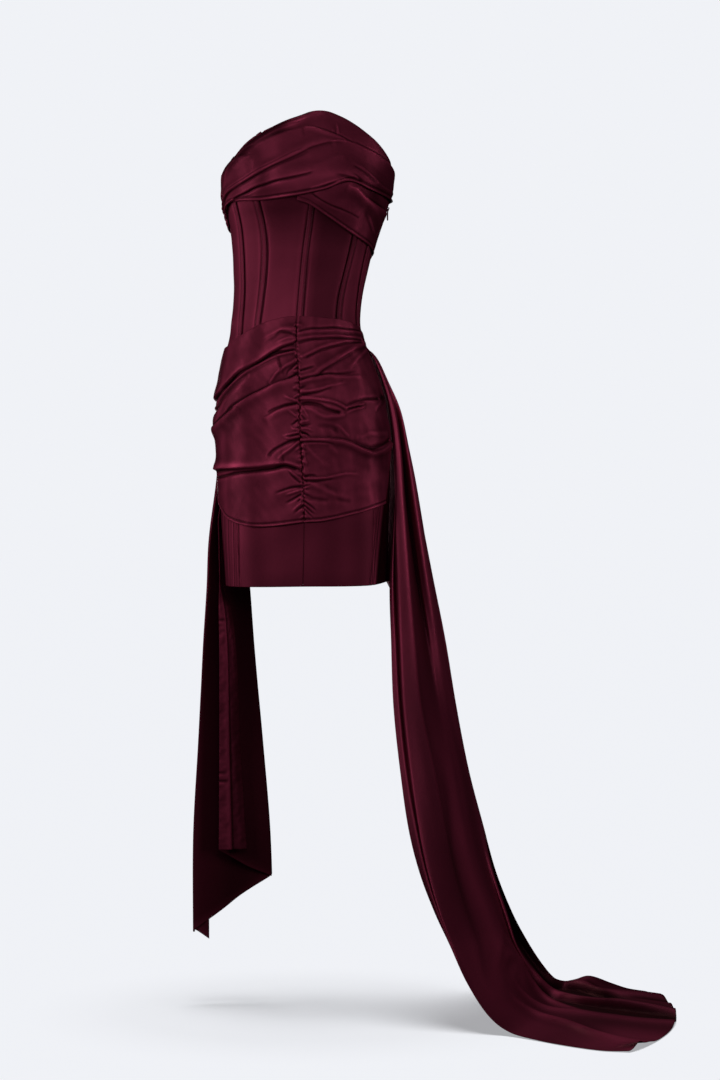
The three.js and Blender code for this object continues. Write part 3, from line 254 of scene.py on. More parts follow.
# Painted shade, and (below 0) painted highlight, where folds keep the light from the cloth or catch it:
# station, place across, strength, spread (or one to each side). The last row holds to the hem.
TRAIN_PAINTED_LIGHT = [
    # painted shade in the deep hollow behind the broad fold, and on the broad fold's own dimmer lower half
    [(3, 0.33, 0, 0.05, 0.02), (4.4, 0.32, 0.4, 0.06, 0.025), (6, 0.35, 0.9, 0.08, 0.045),
     (8, 0.38, 0.4, 0.12, 0.1), (10, 0.4, 0, 0.1)],
    # painted highlight on the broad fold's far edge and on the second fold
    [(0.6, 0.17, -0.5, 0.1, 0.04), (2, 0.17, -1.2, 0.1, 0.04), (4.2, 0.18, -1.2, 0.05, 0.03),
     (5, 0.19, -0.9, 0.028, 0.02), (7, 0.195, -0.6, 0.02), (9, 0.2, -0.15, 0.02), (11, 0.2, 0, 0.02)],
    [(0.6, 0.6, -0.8, 0.2), (1.6, 0.62, -1.5, 0.2, 0.24), (3.2, 0.66, -1.6, 0.16, 0.2),
     (4.2, 0.66, -1.1, 0.12), (5.2, 0.62, -0.7, 0.1), (6.8, 0.65, 0, 0.1)],
    # painted light between the narrow pleats, so it is not as dark as their depth makes it
    [(5.6, 0.06, 0, 0.02, 0.015), (6.4, 0.06, -0.9, 0.02, 0.015), (12, 0.06, -0.9, 0.02, 0.015),
     (13.5, 0.06, 0, 0.02, 0.015)],
    [(4.2, 0.09, 0, 0.05), (4.8, 0.1, 0.45, 0.06, 0.045), (6, 0.12, 0.25, 0.06, 0.05),
     (7, 0.12, 0, 0.06, 0.05)],
    [(5, 0.12, 0, 0.1, 0.05), (6.5, 0.12, 0.35, 0.12, 0.08), (8, 0.13, 0.65, 0.16, 0.1),
     (11.5, 0.16, 0.6, 0.2, 0.14), (13.5, 0.2, 0.2, 0.2), (14.5, 0.2, 0, 0.2)],
    # painted shade behind the crease by the outer edge, and on along the cloth that reaches the floor
    [(11, 0.95, 0, 0.03, 0.05), (11.8, 0.95, 1, 0.025, 0.06), (12.5, 0.95, 1.7, 0.035, 0.07),
     (13.4, 0.95, 2, 0.045, 0.07), (14.4, 0.955, 2.2, 0.05, 0.07), (15.4, 0.925, 2.4, 0.05, 0.055),
     (16.4, 0.86, 2.4, 0.045, 0.05), (17.4, 0.765, 2, 0.035, 0.04), (18.4, 0.73, 0, 0.03)],
    [(14.2, 0.8, 0, 0.03), (14.9, 0.77, 0.6, 0.03), (15.6, 0.71, 1, 0.035), (16.2, 0.65, 1.6, 0.035),
     (16.7, 0.61, 2.2, 0.05, 0.035), (17.3, 0.585, 2.4, 0.05, 0.035), (17.9, 0.575, 2.5, 0.06, 0.035),
     (18.8, 0.565, 2.4, 0.06, 0.035), (19.6, 0.56, 1.6, 0.05, 0.035), (20, 0.55, 0.8, 0.05, 0.035)],
    # painted shadow under the hem where it arches off the floor
    [(19.3, 0.05, 0, 0.02), (19.8, 0.045, 2, 0.018), (20, 0.045, 2.6, 0.022)],
    # painted shade between the crests beyond it
    [(15.8, 0.8, 0, 0.03), (16.5, 0.73, 0.5, 0.03), (17.2, 0.68, 0.5, 0.025), (17.8, 0.665, 0.7, 0.025),
     (20, 0.67, 0.7, 0.03)],
    # painted shade: the hanging part's right third is dimmer, its middle and the part by the front edge less
    # so
    [(7, 0.62, 0, 0.1), (8.2, 0.62, 0.3, 0.1), (9.2, 0.7, 0.45, 0.12, 0.18), (10.4, 0.64, 0.45, 0.12, 0.14),
     (11.7, 0.64, 0.4, 0.12, 0.1), (12.9, 0.66, 0.35, 0.1), (14, 0.66, 0, 0.1)],
    [(6.5, 0.44, 0, 0.05), (8.2, 0.44, -0.25, 0.06, 0.05), (9.2, 0.4, -0.2, 0.08, 0.05),
     (10.4, 0.38, -0.2, 0.1, 0.06), (11.7, 0.38, -0.2, 0.14, 0.08), (13, 0.4, -0.2, 0.14, 0.1),
     (14.5, 0.4, 0, 0.1)],
    [(8.6, 0.27, 0, 0.04), (9.4, 0.27, 0.42, 0.04), (10.4, 0.22, 0.45, 0.04, 0.03),
     (11.7, 0.22, 0.4, 0.04, 0.03), (13, 0.22, 0.3, 0.04, 0.03), (14.5, 0.22, 0, 0.04)],
    [(8.8, 0, 0, 0.04), (9.6, 0, 0.4, 0.05), (10.5, 0, 0.55, 0.05), (11.8, 0, 0.45, 0.05),
     (13, 0, 0.35, 0.05), (14.5, 0, 0.1, 0.05), (16, 0, 0, 0.05)],
    # painted light on the near part that lies on the floor, most of all by its hem
    [(12.6, 0.2, 0, 0.3, 0.28), (14, 0.2, -0.3, 0.3, 0.28), (15.3, 0.2, -0.42, 0.3, 0.25),
     (16.4, 0.2, -0.3, 0.3, 0.22), (17.2, 0.15, -0.05, 0.3, 0.2), (17.8, 0.15, -0.15, 0.3, 0.2),
     (18.5, 0.15, -0.5, 0.3, 0.22), (20, 0.15, -0.45, 0.3, 0.25)],
]
# Short creases that spread from the point where the hanging part meets the floor: from and to
# (station, place across), rise, width
TRAIN_CREASES = [
    ((13.2, 0.84), (12.6, 0.55), 1.5, 0.22), ((13.3, 0.82), (13.4, 0.48), 1.6, 0.25),
    ((13.4, 0.82), (14.2, 0.5), 1.8, 0.25), ((13.4, 0.8), (15.0, 0.56), 1.8, 0.25),
    ((12.4, 0.7), (13.6, 0.42), -1.4, 0.3), ((13.4, 0.62), (14.8, 0.36), -1.4, 0.28),
    ((13.6, 0.9), (14.6, 0.74), -1.6, 0.25), ((12.8, 0.5), (14.0, 0.3), 1.2, 0.3),
]

# Tail sections, seen from above: z, left x, y, right x, y, inner x, y, bow, inner bow
TAIL = [
    (-1020, -171, 46, -48, 72, -131, 34, 9, -4), (-850, -171, 46, -53, 74, -131, 34, 9, -4),
    (-700, -163.5, 44, -65, 80, -130, 34, 9, -4), (-545, -155.5, 40, -79.5, 90, -129, 34, 8, -4),
    (-450, -149, 40, -87.5, 100, -128, 38, 7, -3), (-370, -145.5, 44, -95, 103, -127, 41, 7, -2),
    (-275, -133.5, 50, -97, 99, -125, 42, 6, 2), (-240, -130.4, 44.5, -100.8, 91, -126.5, 41, 5, 4),
]
TAIL_TOP = -240
TAIL_FLAP = 24
TAIL_PLY = 4.8
TAIL_HEM = [(0, -1018), (1 / 9, -1003), (3 / 9, -999), (5 / 9, -920), (7 / 9, -916), (1, -872)]
# Painted highlight (above 0) and painted shade lines along its rolled hem: height above it, strength, reach
TAIL_HEM_PAINTED_LINES = [(1.5, 1.0, 2.2), (6, -0.4, 1.8), (9, 0.35, 2)]
# Inner layer of the tail: z, left x, y, right x, y
TAIL_INNER = [
    (-868, -128, 12, -86, 22), (-700, -127, 10, -96, 22), (-545, -127, 7, -103, 20),
    (-482, -128, 7, -112, 20), (-450, -129, 8, -124, 24), (-370, -131, 14, -128, 30),
    (-300, -134, 20, -132.5, 33),
]
TAIL_INNER_SEAT_FROM, TAIL_INNER_SEAT_TO = -98.5, -104.5
# Crinkles on it: height, reach, how they lean
TAIL_CRINKLES = [(-497, 7, 3.0), (-519, 5, -3.5), (-743, 5, -2.5), (-757, 7, 3.0)]


def curve(rows, column, at):
    """A smooth curve through one column of a table whose rows are sorted by their first entry."""
    table = np.asarray(rows, float)
    keys, values = table[:, 0], table[:, column]
    last = len(keys) - 1
    x = np.clip(at, keys[0], keys[-1])
    i = np.clip(np.searchsorted(keys, x, side="right") - 1, 0, last - 1)
    before, after = np.maximum(i - 1, 0), np.minimum(i + 2, last)
    slope = (values[i + 1] - values[before]) / (keys[i + 1] - keys[before])
    next_slope = (values[after] - values[i]) / (keys[after] - keys[i])
    span = keys[i + 1] - keys[i]
    t = (x - keys[i]) / span
    return (
        (1 + 2 * t) * (1 - t) ** 2 * values[i]
        + t * (1 - t) ** 2 * span * slope
        + t * t * (3 - 2 * t) * values[i + 1]
        + t * t * (t - 1) * span * next_slope
    )


def smooth(t):
    s = np.clip(t, 0, 1)
    return s * s * (3 - 2 * s)


def within(x, start, rising, end, falling):
    """1 between two limits; it rises and falls smoothly just inside them."""
    return smooth((x - start) / rising) * smooth((end - x) / falling)


def mix(a, b, t):
    return a + (b - a) * t


def bell(d):
    return np.exp(-d * d)


def figure(az, z):
    """Points of the figure at an azimuth in degrees and a height."""
    az, z = np.broadcast_arrays(np.asarray(az, float), np.asarray(z, float))
    left, right = curve(FORM, 1, z), curve(FORM, 2, z)
    turn = np.radians(az)
    depth = np.where(np.cos(turn) >= 0, -curve(FORM, 3, z), curve(FORM, 4, z))
    half = (right - left) / 2
    across = (np.abs(np.sin(turn)) / half) ** SQUARENESS
    deep = (np.abs(np.cos(turn)) / depth) ** SQUARENESS
    cups = bell((az - CUP_AZ - CUP_SHIFT) / CUP_SPREAD) + bell((az + CUP_AZ - CUP_SHIFT) / CUP_SPREAD)
    radius = (across + deep) ** (-1 / SQUARENESS) + CUP_RISE * cups * bell((z - CUP_Z) / CUP_TALL)
    return np.stack([(left + right) / 2 + radius * np.sin(turn), -radius * np.cos(turn), z], -1)


def unit(v):
    return v / np.maximum(np.linalg.norm(v, axis=-1, keepdims=True), 1e-9)


def outward(az, z):
    around = figure(az + 0.5, z) - figure(az - 0.5, z)
    up = figure(az, z + 1.0) - figure(az, z - 1.0)
    return unit(np.cross(around, up))


def on_figure(az, z, offset):
    return figure(az, z) + outward(az, z) * np.asarray(offset)[..., None]


def degree_length(az, z):
    """Length of one degree round the figure, in millimetres."""
    return np.linalg.norm(figure(az + 0.5, z) - figure(az - 0.5, z), axis=-1)


def step_round(az, z, distance):
    """Azimuth that lies a distance in millimetres round the figure from the given one."""
    return az + distance / degree_length(az, z)


def fixed(value):
    return lambda at: np.full(np.shape(at), float(value))


def edge(rows):
    """An edge or a seam: the second column of its table over the first."""
    return lambda at: curve(rows, 1, at)


def beside(line, distance):
    """The line that runs beside another one at a distance in millimetres."""
    return lambda z: step_round(line(z), z, distance)


upper_low, cross_low, band_low = edge(UPPER_LOW_EDGE), edge(CROSS_LOW_EDGE), edge(BAND_LOW_EDGE)
over_top, over_hem, skirt_hem = edge(OVER_TOP), edge(OVER_HEM), edge(SKIRT_HEM)
centre_seam, waist = edge(CENTRE_SEAM), fixed(WAIST_SEAM)


def seam(name):
    return edge(CORSET_SEAMS[name])


def zip_side(distance):
    return beside(fixed(ZIP_AZ), distance)


def signed(az):
    """Azimuths from -180 to 180, negative on the left."""
    return np.where(az > 180, az - 360, az)


def neckline(az):
    return curve(NECKLINE, 1, signed(np.asarray(az, float)))


def corset_top(az):
    return neckline(az) - CORSET_BELOW_NECK


# Rows of folds are placed on the cloth laid out flat at this scale
MM_PER_DEGREE = 2.1
# A fold that ends inside its piece fades out over this length
FOLD_FADE = 11.0


def spline(a, b, c, d, t):
    """The place at t between b and c on a Catmull-Rom curve."""
    return 0.5 * (2 * b + (c - a) * t + (2 * a - 5 * b + 4 * c - d) * t**2 + (3 * b - a - 3 * c + d) * t**3)


def fold_points(path):
    """Points of the curve through a fold's line, as azimuth in millimetres and height."""
    stops = np.array([(az * MM_PER_DEGREE, z) for az, z in path], float)
    padded = np.vstack([2 * stops[0] - stops[1], stops, 2 * stops[-1] - stops[-2]])
    points = [spline(*padded[k:k + 4], t) for k in range(len(stops) - 1) for t in (0, 0.25, 0.5, 0.75)]
    return np.array([*points, stops[-1]])


def fold_rise(folds, az, z, first=-400, last=400):
    """How far a table of folds lifts the cloth at each point. A fold that ends inside the piece, so
    between the azimuths first and last, fades out there."""
    x, total = az * MM_PER_DEGREE, np.zeros(az.shape)
    for rise, above, below, start, end, path in folds:
        points = fold_points(path)
        best, share, side = np.full(az.shape, 1e9), np.zeros(az.shape), np.ones(az.shape)
        count = len(points) - 1
        for k in range(count):
            a, run = points[k], points[k + 1] - points[k]
            t = np.clip(((x - a[0]) * run[0] + (z - a[1]) * run[1]) / (run @ run), 0, 1)
            away = np.hypot(x - a[0] - t * run[0], z - a[1] - t * run[1])
            nearer = away < best
            best = np.where(nearer, away, best)
            share = np.where(nearer, (k + t) / count, share)
            over = ((z - a[1]) * run[0] - (x - a[0]) * run[1]) * (1 if run[0] >= 0 else -1)
            side = np.where(nearer, over, side)
        size = np.linalg.norm(np.diff(points, axis=0), axis=1).sum()
        fade = np.ones(az.shape)
        for (az_end, _), from_end in ((path[0], share), (path[-1], 1 - share)):
            if first < az_end < last:
                fade = fade * smooth(0.15 + from_end * size / FOLD_FADE)
        total += rise * fade * mix(start, end, share) * bell(best / np.where(side >= 0, above, below))
    return total


def at_least(low, value, softness=0.3):
    """The value where it is well above the limit, and never less than the limit, without a kink."""
    return low + softness * np.logaddexp(0, (value - low) / softness)


# Folds. Each row: rise, half width above and below its line, shares of the rise at its two ends, and
# the line through points of azimuth and height. A row with a rise below 0 is a crease.
UPPER_FOLDS = [
    (2, 4, 12, 0.9, 0.4, [(-66, 224), (-52, 240), (-41, 247), (-29, 256), (-12, 264), (-1.5, 268)]),
    (-1.8, 3, 2.5, 0.5, 0.1, [(-62, 232), (-49, 245), (-39, 250), (-30, 258), (-19, 266), (-8, 271)]),
    (1.6, 2, 5, 0.6, 0.3, [(-80, 176), (-72, 193), (-68, 204), (-64, 214), (-58, 223), (-47, 227),
     (-42, 230)]),
    (-1.2, 1.8, 1.8, 1, 0.3, [(-78, 190), (-69, 208), (-63, 218), (-56, 229), (-48, 232), (-44, 234)]),
    (-1.6, 9, 9, 0.6, 0.6, [(-80, 180), (-68, 195), (-59, 207), (-49, 214), (-40, 215)]),
    (-0.9, 1.4, 1.4, 1, 0.3, [(-80, 160), (-72, 172), (-64, 183), (-58, 187), (-48, 195), (-38, 204),
     (-29, 212), (-21, 220), (-11.8, 230), (-1.5, 239)]),
    (3.4, 8, 1.7, 1, 0.35, [(-80, 156), (-78, 163), (-69, 175), (-63, 180), (-54, 186), (-44, 194),
     (-34, 203), (-20, 217), (-1.5, 235), (2.8, 240), (14, 247), (21, 250), (31, 250)]),
    (-2.2, 1.8, 2.8, 1, 0.1, [(-80, 152), (-75, 161), (-69, 172), (-62, 179), (-56, 184), (-48, 189),
     (-38, 197), (-29, 205), (-18, 215), (-1.5, 229), (2.8, 235)]),
    (2.6, 1.8, 9, 0.4, 1, [(21, 249), (31, 250), (38, 247), (46, 241), (55, 235), (64, 227), (76, 219),
     (98, 197)]),
    (-1.4, 2, 1.4, 0.2, 1, [(40, 251), (47, 244), (57, 237), (67, 229), (76, 225), (98, 205)]),
    (3, 12, 1.6, 1, 0.2, [(-80, 147), (-74, 153), (-67, 160), (-59, 169), (-48, 175), (-38, 182),
     (-29, 186), (-20, 191), (-11.5, 195), (-1.5, 199), (6.8, 204)]),
    (-2, 1.6, 2.4, 1, 0.2, [(-80, 142), (-70, 155), (-62, 161), (-56, 168), (-48, 172), (-38, 179),
     (-29, 184), (-20, 189), (-11.5, 192), (-1.5, 197), (1, 198), (6.8, 202)]),
    (1.4, 1.6, 1.8, 1, 0.2, [(-80, 144), (-73, 150), (-68, 158), (-62, 164), (-53, 170), (-46, 173)]),
    (-0.9, 1.5, 1.5, 1, 0.2, [(-54, 166), (-45, 168), (-38, 171)]),
    (1.8, 1.7, 5, 0.3, 1, [(-2.5, 270), (2, 271), (10.2, 269), (19, 263), (29, 256), (34, 250)]),
    (-1.2, 1.6, 1.4, 0.2, 1, [(5.8, 273), (18, 268), (28, 260), (34, 254), (39, 248)]),
    (1.3, 1.6, 1.6, 0.5, 1, [(28, 281), (28, 270), (28, 260)]),
    (-1, 1.4, 1.4, 0.5, 1, [(26, 276), (26, 266), (26, 259)]),
    (1.6, 5, 8, 0.2, 0.4, [(1, 207), (13, 213), (20, 219), (26, 223), (32, 223)]),
    (-1.7, 2.4, 2.4, 0.8, 0.4, [(35, 213), (42, 205), (50, 194), (56, 191)]),
    (1.1, 2.4, 2.4, 0.4, 1, [(40, 214), (46, 203), (57, 190), (68, 183), (98, 178)]),
    (-1.5, 1.8, 1.8, 1, 0.6, [(35, 201), (40, 193), (43, 190)]),
    (-2, 2.2, 2.2, 0.3, 1, [(23, 198), (30, 195), (37, 191), (42, 189)]),
    (2.6, 3.2, 1.8, 0.3, 1, [(3.2, 175), (11.5, 180), (20, 186), (30, 190), (36, 189), (42, 183), (52, 178),
     (63, 174), (76, 171), (98, 166)]),
    (1.3, 1.8, 1.8, 1, 0.5, [(73, 192), (74, 173)]),
]
CROSS_FOLDS = [
    (2.4, 1.7, 9, 0.5, 1, [(32, 182), (40, 177), (49, 167), (61, 158), (76, 152), (89, 149), (98, 147)]),
    (-1.6, 2, 1.4, 0.3, 1, [(40, 179), (48, 169), (59, 161), (72, 154)]),
    (1.9, 8, 1.7, 0.6, 0.2, [(6, 172), (15, 161), (24, 154), (34, 148), (42, 142), (48, 137)]),
    (-1.4, 1.4, 2, 0.8, 0.2, [(6, 169), (15, 159), (24, 151), (34, 145), (42, 140), (49, 134)]),
    (1.2, 2, 2, 0.3, 1, [(58, 140), (66, 123), (72, 114)]),
    (-1, 2.4, 2.4, 0.4, 1, [(52, 147), (60, 130), (67, 115)]),
    (1.6, 1.8, 1.8, 1, 0.6, [(76, 165), (78, 149)]),
    (1.4, 2, 2, 1, 0.6, [(80, 136), (76, 119), (74, 110)]),
    (3.4, 17, 15, 0.2, 1, [(80, 136), (90, 137), (98, 137)]),
]
OVER_LEFT_FOLDS = [
    (1.7, 5, 2.6, 1, 0.1, [(0.2, -43), (-8.5, -41), (-15, -43), (-24, -50), (-34, -58)]),
    (-1.6, 1.6, 3, 1, 0.1, [(-0.2, -50), (-7.2, -47), (-14, -46), (-20, -54), (-30, -63)]),
    (1.2, 2, 2, 1, 0.1, [(-1.5, -55), (-7.5, -56), (-14, -60), (-20, -65)]),
    (5.2, 22, 1.9, 0.7, 1, [(-1.8, -62), (-14, -69), (-24, -79), (-33, -89), (-42, -99), (-50, -106),
     (-57, -114), (-64, -125), (-72, -137), (-87, -144), (-104, -150)]),
    (-2.2, 1.7, 1.7, 1, 1, [(-1.5, -74), (-11.2, -77), (-21, -79), (-27, -86), (-33, -93), (-40, -98),
     (-48, -105), (-54, -112), (-60, -123), (-67, -132), (-78, -144), (-104, -159)]),
    (2.4, 1.6, 2.6, 0.9, 1, [(-1, -77), (-15, -82), (-24, -88), (-34, -97), (-42, -105), (-49, -113),
     (-56, -123), (-65, -137), (-74, -150), (-80, -159), (-104, -165)]),
    (-3, 5, 6, 0.2, 1, [(-42, -113), (-50, -121), (-59, -133), (-68, -148), (-76, -162), (-104, -173)]),
    (4.2, 11, 22, 0.5, 1, [(-15, -95), (-24, -100), (-34, -108), (-43, -121), (-52, -134), (-62, -152),
     (-72, -167), (-88, -182), (-104, -189)]),
    (2.2, 3.2, 2.4, 1, 0.2, [(-0.2, -91), (-10.5, -100), (-19, -111), (-24, -122), (-27, -130)]),
    (-1.5, 2, 2, 1, 0.2, [(-0.2, -96), (-8.2, -107), (-12, -118)]),
    (1.5, 1.8, 1.8, 1, 0.2, [(-0.2, -98), (-5.2, -106)]),
    (1.4, 1.7, 1.7, 1, 0.2, [(-0.8, -105), (-4.8, -110)]),
    (-1.9, 1.6, 1.6, 1, 0.5, [(-0.5, -111), (-7, -117), (-11.2, -120)]),
    (3.6, 1.9, 11, 0.6, 1, [(-1.5, -116), (-10.2, -122), (-20, -127), (-28, -134), (-40, -145), (-47, -153),
     (-55, -162), (-54, -163), (-62, -174), (-70, -184), (-84, -192), (-104, -205)]),
    (-2, 2, 1.5, 0.2, 1, [(-28, -131), (-40, -142), (-49, -151), (-58, -162), (-62, -170), (-70, -180),
     (-78, -187), (-104, -199)]),
    (1.8, 2, 2.2, 0.3, 1, [(-15, -145), (-8.5, -151), (-3, -154)]),
    (-2.4, 1.8, 2.6, 1, 0.2, [(-3.5, -158), (-11.5, -160), (-17, -163), (-25, -169), (-29, -174)]),
    (1.9, 2, 7, 1, 0.3, [(-3.2, -161), (-18, -168), (-26, -176), (-32, -183)]),
    (1.3, 2, 2, 0.4, 1, [(-11.8, -168), (-7, -174), (-3.2, -180)]),
    (-1.6, 1.6, 1.6, 1, 0.4, [(-3, -184), (-7.2, -190), (-10, -192)]),
    (1.3, 1.6, 2, 0.4, 1, [(-10, -195), (-6.8, -198), (-3.2, -198)]),
    (1.7, 1.8, 1.8, 0.3, 1, [(-17, -209), (-10.2, -206), (-3.5, -204)]),
    (-1.7, 1.4, 1.4, 0.4, 1, [(-11.8, -210), (-7.8, -208), (-3, -206)]),
    (1.5, 1.6, 1.6, 0.4, 1, [(-16, -210), (-10.5, -213), (-3.2, -211)]),
    (-2.6, 1.8, 3.2, 1, 0.4, [(-2.5, -213), (-10.5, -217), (-18, -224), (-25, -232), (-30, -242)]),
    (2, 2.4, 3, 1, 0.3, [(-3, -218), (-10.8, -229), (-17, -237), (-22, -246)]),
    (6.2, 13, 2.4, 1, 0.45, [(-104, -250), (-87, -257), (-69, -257), (-57, -257), (-45, -256), (-35, -255),
     (-25, -253), (-16, -251)]),
    (2.4, 5, 1.8, 0.8, 1, [(-25, -253), (-16, -251), (-9.8, -253), (-3, -258)]),
    (-2.6, 1.8, 3, 0.8, 1, [(-104, -266), (-87, -271), (-66, -269), (-57, -266), (-45, -264), (-35, -262),
     (-25, -260), (-16, -256), (-11.2, -257), (-4.5, -261)]),
    (1.6, 1.7, 1.7, 0.5, 1, [(-12, -261), (-8.5, -268), (-3.8, -274)]),
    (-1.6, 1.6, 1.6, 0.5, 1, [(-13, -263), (-10, -270), (-5.2, -278), (-2.8, -281)]),
    (-2.2, 1.7, 2, 1, 0.3, [(-2.5, -287), (-10.2, -289), (-17, -293), (-24, -298)]),
    (1.5, 1.8, 1.8, 1, 0.3, [(-2.2, -293), (-8.8, -297), (-16, -301)]),
    (-2.2, 1.7, 2, 1, 0.3, [(-2.5, -300), (-8.8, -307), (-16, -314)]),
    (-1.6, 1.5, 1.5, 1, 0.4, [(-3, -308), (-6.8, -313)]),
    (1.3, 1.7, 1.7, 1, 0.4, [(-2, -314), (-6.2, -320), (-9.8, -326)]),
    (-1.7, 1.6, 1.6, 1, 0.3, [(-1.2, -319), (-4.8, -324), (-9, -331)]),
]
OVER_RIGHT_FOLDS = [
    (-1.5, 1.8, 1.8, 0.7, 1, [(4.5, -45), (14, -41), (24, -40), (38, -38), (54, -39), (70, -41)]),
    (1.4, 2.4, 3, 0.7, 0.9, [(4.5, -48), (17, -45), (31, -43), (46, -42), (64, -42), (74, -44)]),
    (-1.7, 2, 2, 0.7, 1, [(3.8, -63), (13, -59), (23, -57), (37, -55), (52, -55), (68, -56)]),
    (1.4, 3, 2, 0.5, 1, [(5.5, -57), (16, -54), (34, -52), (52, -52), (69, -53)]),
    (1.6, 3.4, 2.2, 0.6, 1, [(5.2, -85), (14, -79), (22, -72), (32, -66), (47, -60), (69, -57)]),
    (-1.8, 2, 2.6, 0.6, 1, [(7.8, -87), (15, -81), (22, -75), (28, -72), (40, -66), (50, -61), (67, -59)]),
    (2.4, 5, 3, 0.7, 1, [(3.5, -119), (14, -114), (21, -104), (30, -95), (40, -84), (54, -71), (72, -61)]),
    (-1.3, 2, 2.8, 0.8, 0.3, [(16, -115), (24, -105), (32, -96), (42, -86), (52, -77)]),
    (-2, 1.8, 1.8, 1, 0.3, [(2.5, -107), (10, -103), (16, -100)]),
    (1.4, 3, 3, 0.2, 1, [(44, -105), (51, -92), (60, -81), (72, -70)]),
    (-2.2, 2, 1.8, 1, 0.3, [(3, -120), (8.8, -117), (15, -115), (25, -112), (37, -111), (50, -107)]),
    (2, 2, 4.5, 1, 0.3, [(0.8, -125), (11.8, -120), (22, -116), (30, -115), (43, -116), (56, -114)]),
    (-1.5, 1.8, 1.8, 1, 0.4, [(0.8, -134), (6.8, -131)]),
    (1.4, 2.6, 2.2, 1, 0.3, [(0.5, -140), (9.5, -139), (17, -136), (28, -130), (42, -123)]),
    (-1.9, 1.8, 2.4, 1, 0.3, [(0.5, -145), (7.2, -143), (16, -140), (23, -135), (29, -132)]),
    (2.4, 3.2, 1.9, 0.8, 1, [(0.2, -151), (10.2, -151), (22, -154), (29, -157), (35, -163), (38, -168)]),
    (-2.6, 1.8, 4.5, 1, 1, [(-0.5, -159), (7, -157), (16, -160), (22, -166), (29, -170), (34, -172)]),
    (1.8, 4, 4, 0.4, 1, [(2.5, -164), (9.8, -168), (16, -175), (22, -179), (31, -177), (37, -174)]),
    (1.9, 2, 1.6, 0.6, 1, [(36, -165), (42, -162), (49, -159), (54, -156)]),
    (-1.7, 1.5, 1.5, 0.6, 1, [(38, -167), (45, -163), (50, -161)]),
    (1.7, 1.6, 2.4, 0.6, 1, [(37, -173), (43, -167), (49, -164), (54, -161)]),
    (-2, 2.6, 1.8, 0.4, 1, [(38, -160), (46, -154), (55, -150), (66, -149)]),
    (1.4, 2.6, 2.6, 1, 0.2, [(79, -140), (67, -157), (61, -170)]),
    (1.4, 2, 2, 1, 0.4, [(0.8, -164), (4.2, -173), (7, -184)]),
    (-1.5, 1.8, 1.8, 1, 0.4, [(0.5, -178), (4.2, -184)]),
    (1.4, 1.7, 1.7, 1, 0.3, [(-0.2, -187), (8.2, -184)]),
    (-1.9, 1.7, 1.7, 1, 0.3, [(0, -193), (4.2, -192), (9.5, -190)]),
    (1.3, 1.8, 1.8, 1, 0.3, [(0.2, -197), (5.5, -198), (10.8, -202)]),
    (-2, 1.5, 1.5, 1, 0.4, [(0, -203), (4.5, -206), (7.8, -211)]),
    (-1.6, 4, 4, 0.3, 1, [(13, -193), (20, -193), (26, -196), (31, -204)]),
    (1.2, 3, 3, 0.4, 1, [(26, -188), (32, -195), (36, -204), (39, -210)]),
    (3.6, 3, 6.5, 0.7, 1, [(-1.2, -216), (7.5, -215), (21, -215), (29, -216), (34, -217), (40, -221),
     (45, -226), (51, -231), (58, -234), (67, -230), (76, -222), (89, -213)]),
    (-2, 1.5, 1.7, 1, 0.2, [(-0.8, -219), (9.2, -218), (21, -219), (27, -222)]),
    (-3, 4.2, 2, 0.2, 1, [(40, -216), (47, -223), (56, -227), (64, -223), (77, -213)]),
    (1.7, 5, 5, 0.2, 1, [(43, -212), (49, -208), (57, -204), (72, -203)]),
    (1.7, 1.6, 1.6, 1, 0.5, [(-0.2, -206), (3.8, -209), (7.8, -214)]),
    (-1.8, 1.5, 1.5, 1, 0.5, [(-0.2, -204), (3.8, -206), (6.8, -211)]),
    (1, 5, 5, 1, 0.2, [(1.8, -222), (9, -237), (17, -250), (24, -258)]),
    (1, 4, 4, 1, 0.2, [(22, -222), (26, -231), (30, -242)]),
    (1.3, 1.8, 1.8, 0.8, 0.4, [(0.5, -223), (1.5, -239), (2.8, -255)]),
    (-1.7, 1.8, 1.8, 1, 0.3, [(1.5, -272), (6.8, -270), (13, -271)]),
    (1.8, 2, 3, 1, 0.3, [(1, -275), (11.2, -275), (20, -274), (28, -270), (36, -267), (45, -268)]),
    (-1.7, 1.6, 2, 1, 0.3, [(1, -279), (11.2, -279), (20, -277), (26, -275)]),
    (-0.6, 8, 8, 0.3, 1, [(44, -256), (58, -260), (72, -258)]),
    (1.2, 5, 5, 0.8, 0.3, [(5.5, -282), (16, -291), (26, -300), (34, -303)]),
    (-1.1, 5, 5, 0.8, 0.5, [(16, -285), (24, -292), (30, -297)]),
    (-0.5, 8, 8, 0.3, 1, [(34, -293), (48, -292), (56, -290), (72, -286)]),
    (-1.3, 3.5, 3.5, 1, 0.5, [(2.5, -305), (14, -308), (23, -310)]),
    (-1.1, 4, 4, 0.6, 0.6, [(26, -306), (34, -310), (40, -311)]),
    (-1.7, 1.6, 1.6, 1, 0.3, [(0.5, -287), (5.5, -285)]),
    (-1.5, 1.6, 1.6, 1, 0.3, [(0.5, -292), (5, -292)]),
    (-1.6, 1.8, 2, 1, 0.3, [(0.5, -299), (7.8, -304)]),
    (-1.7, 1.5, 1.5, 1, 0.3, [(1.2, -311), (6.8, -318), (12, -327)]),
    (1.2, 1.4, 1.4, 1, 0.3, [(1.2, -314), (6, -321), (12, -330)]),
    (-1.7, 1.5, 1.5, 1, 0.3, [(0.8, -317), (5.5, -325), (9.5, -332)]),
    (-1.7, 1.6, 1.6, 1, 0.3, [(1.2, -323), (4.8, -330), (9.5, -338)]),
    (1.3, 1.6, 1.6, 1, 0.3, [(1.5, -327), (4.8, -334), (8.5, -340)]),
]
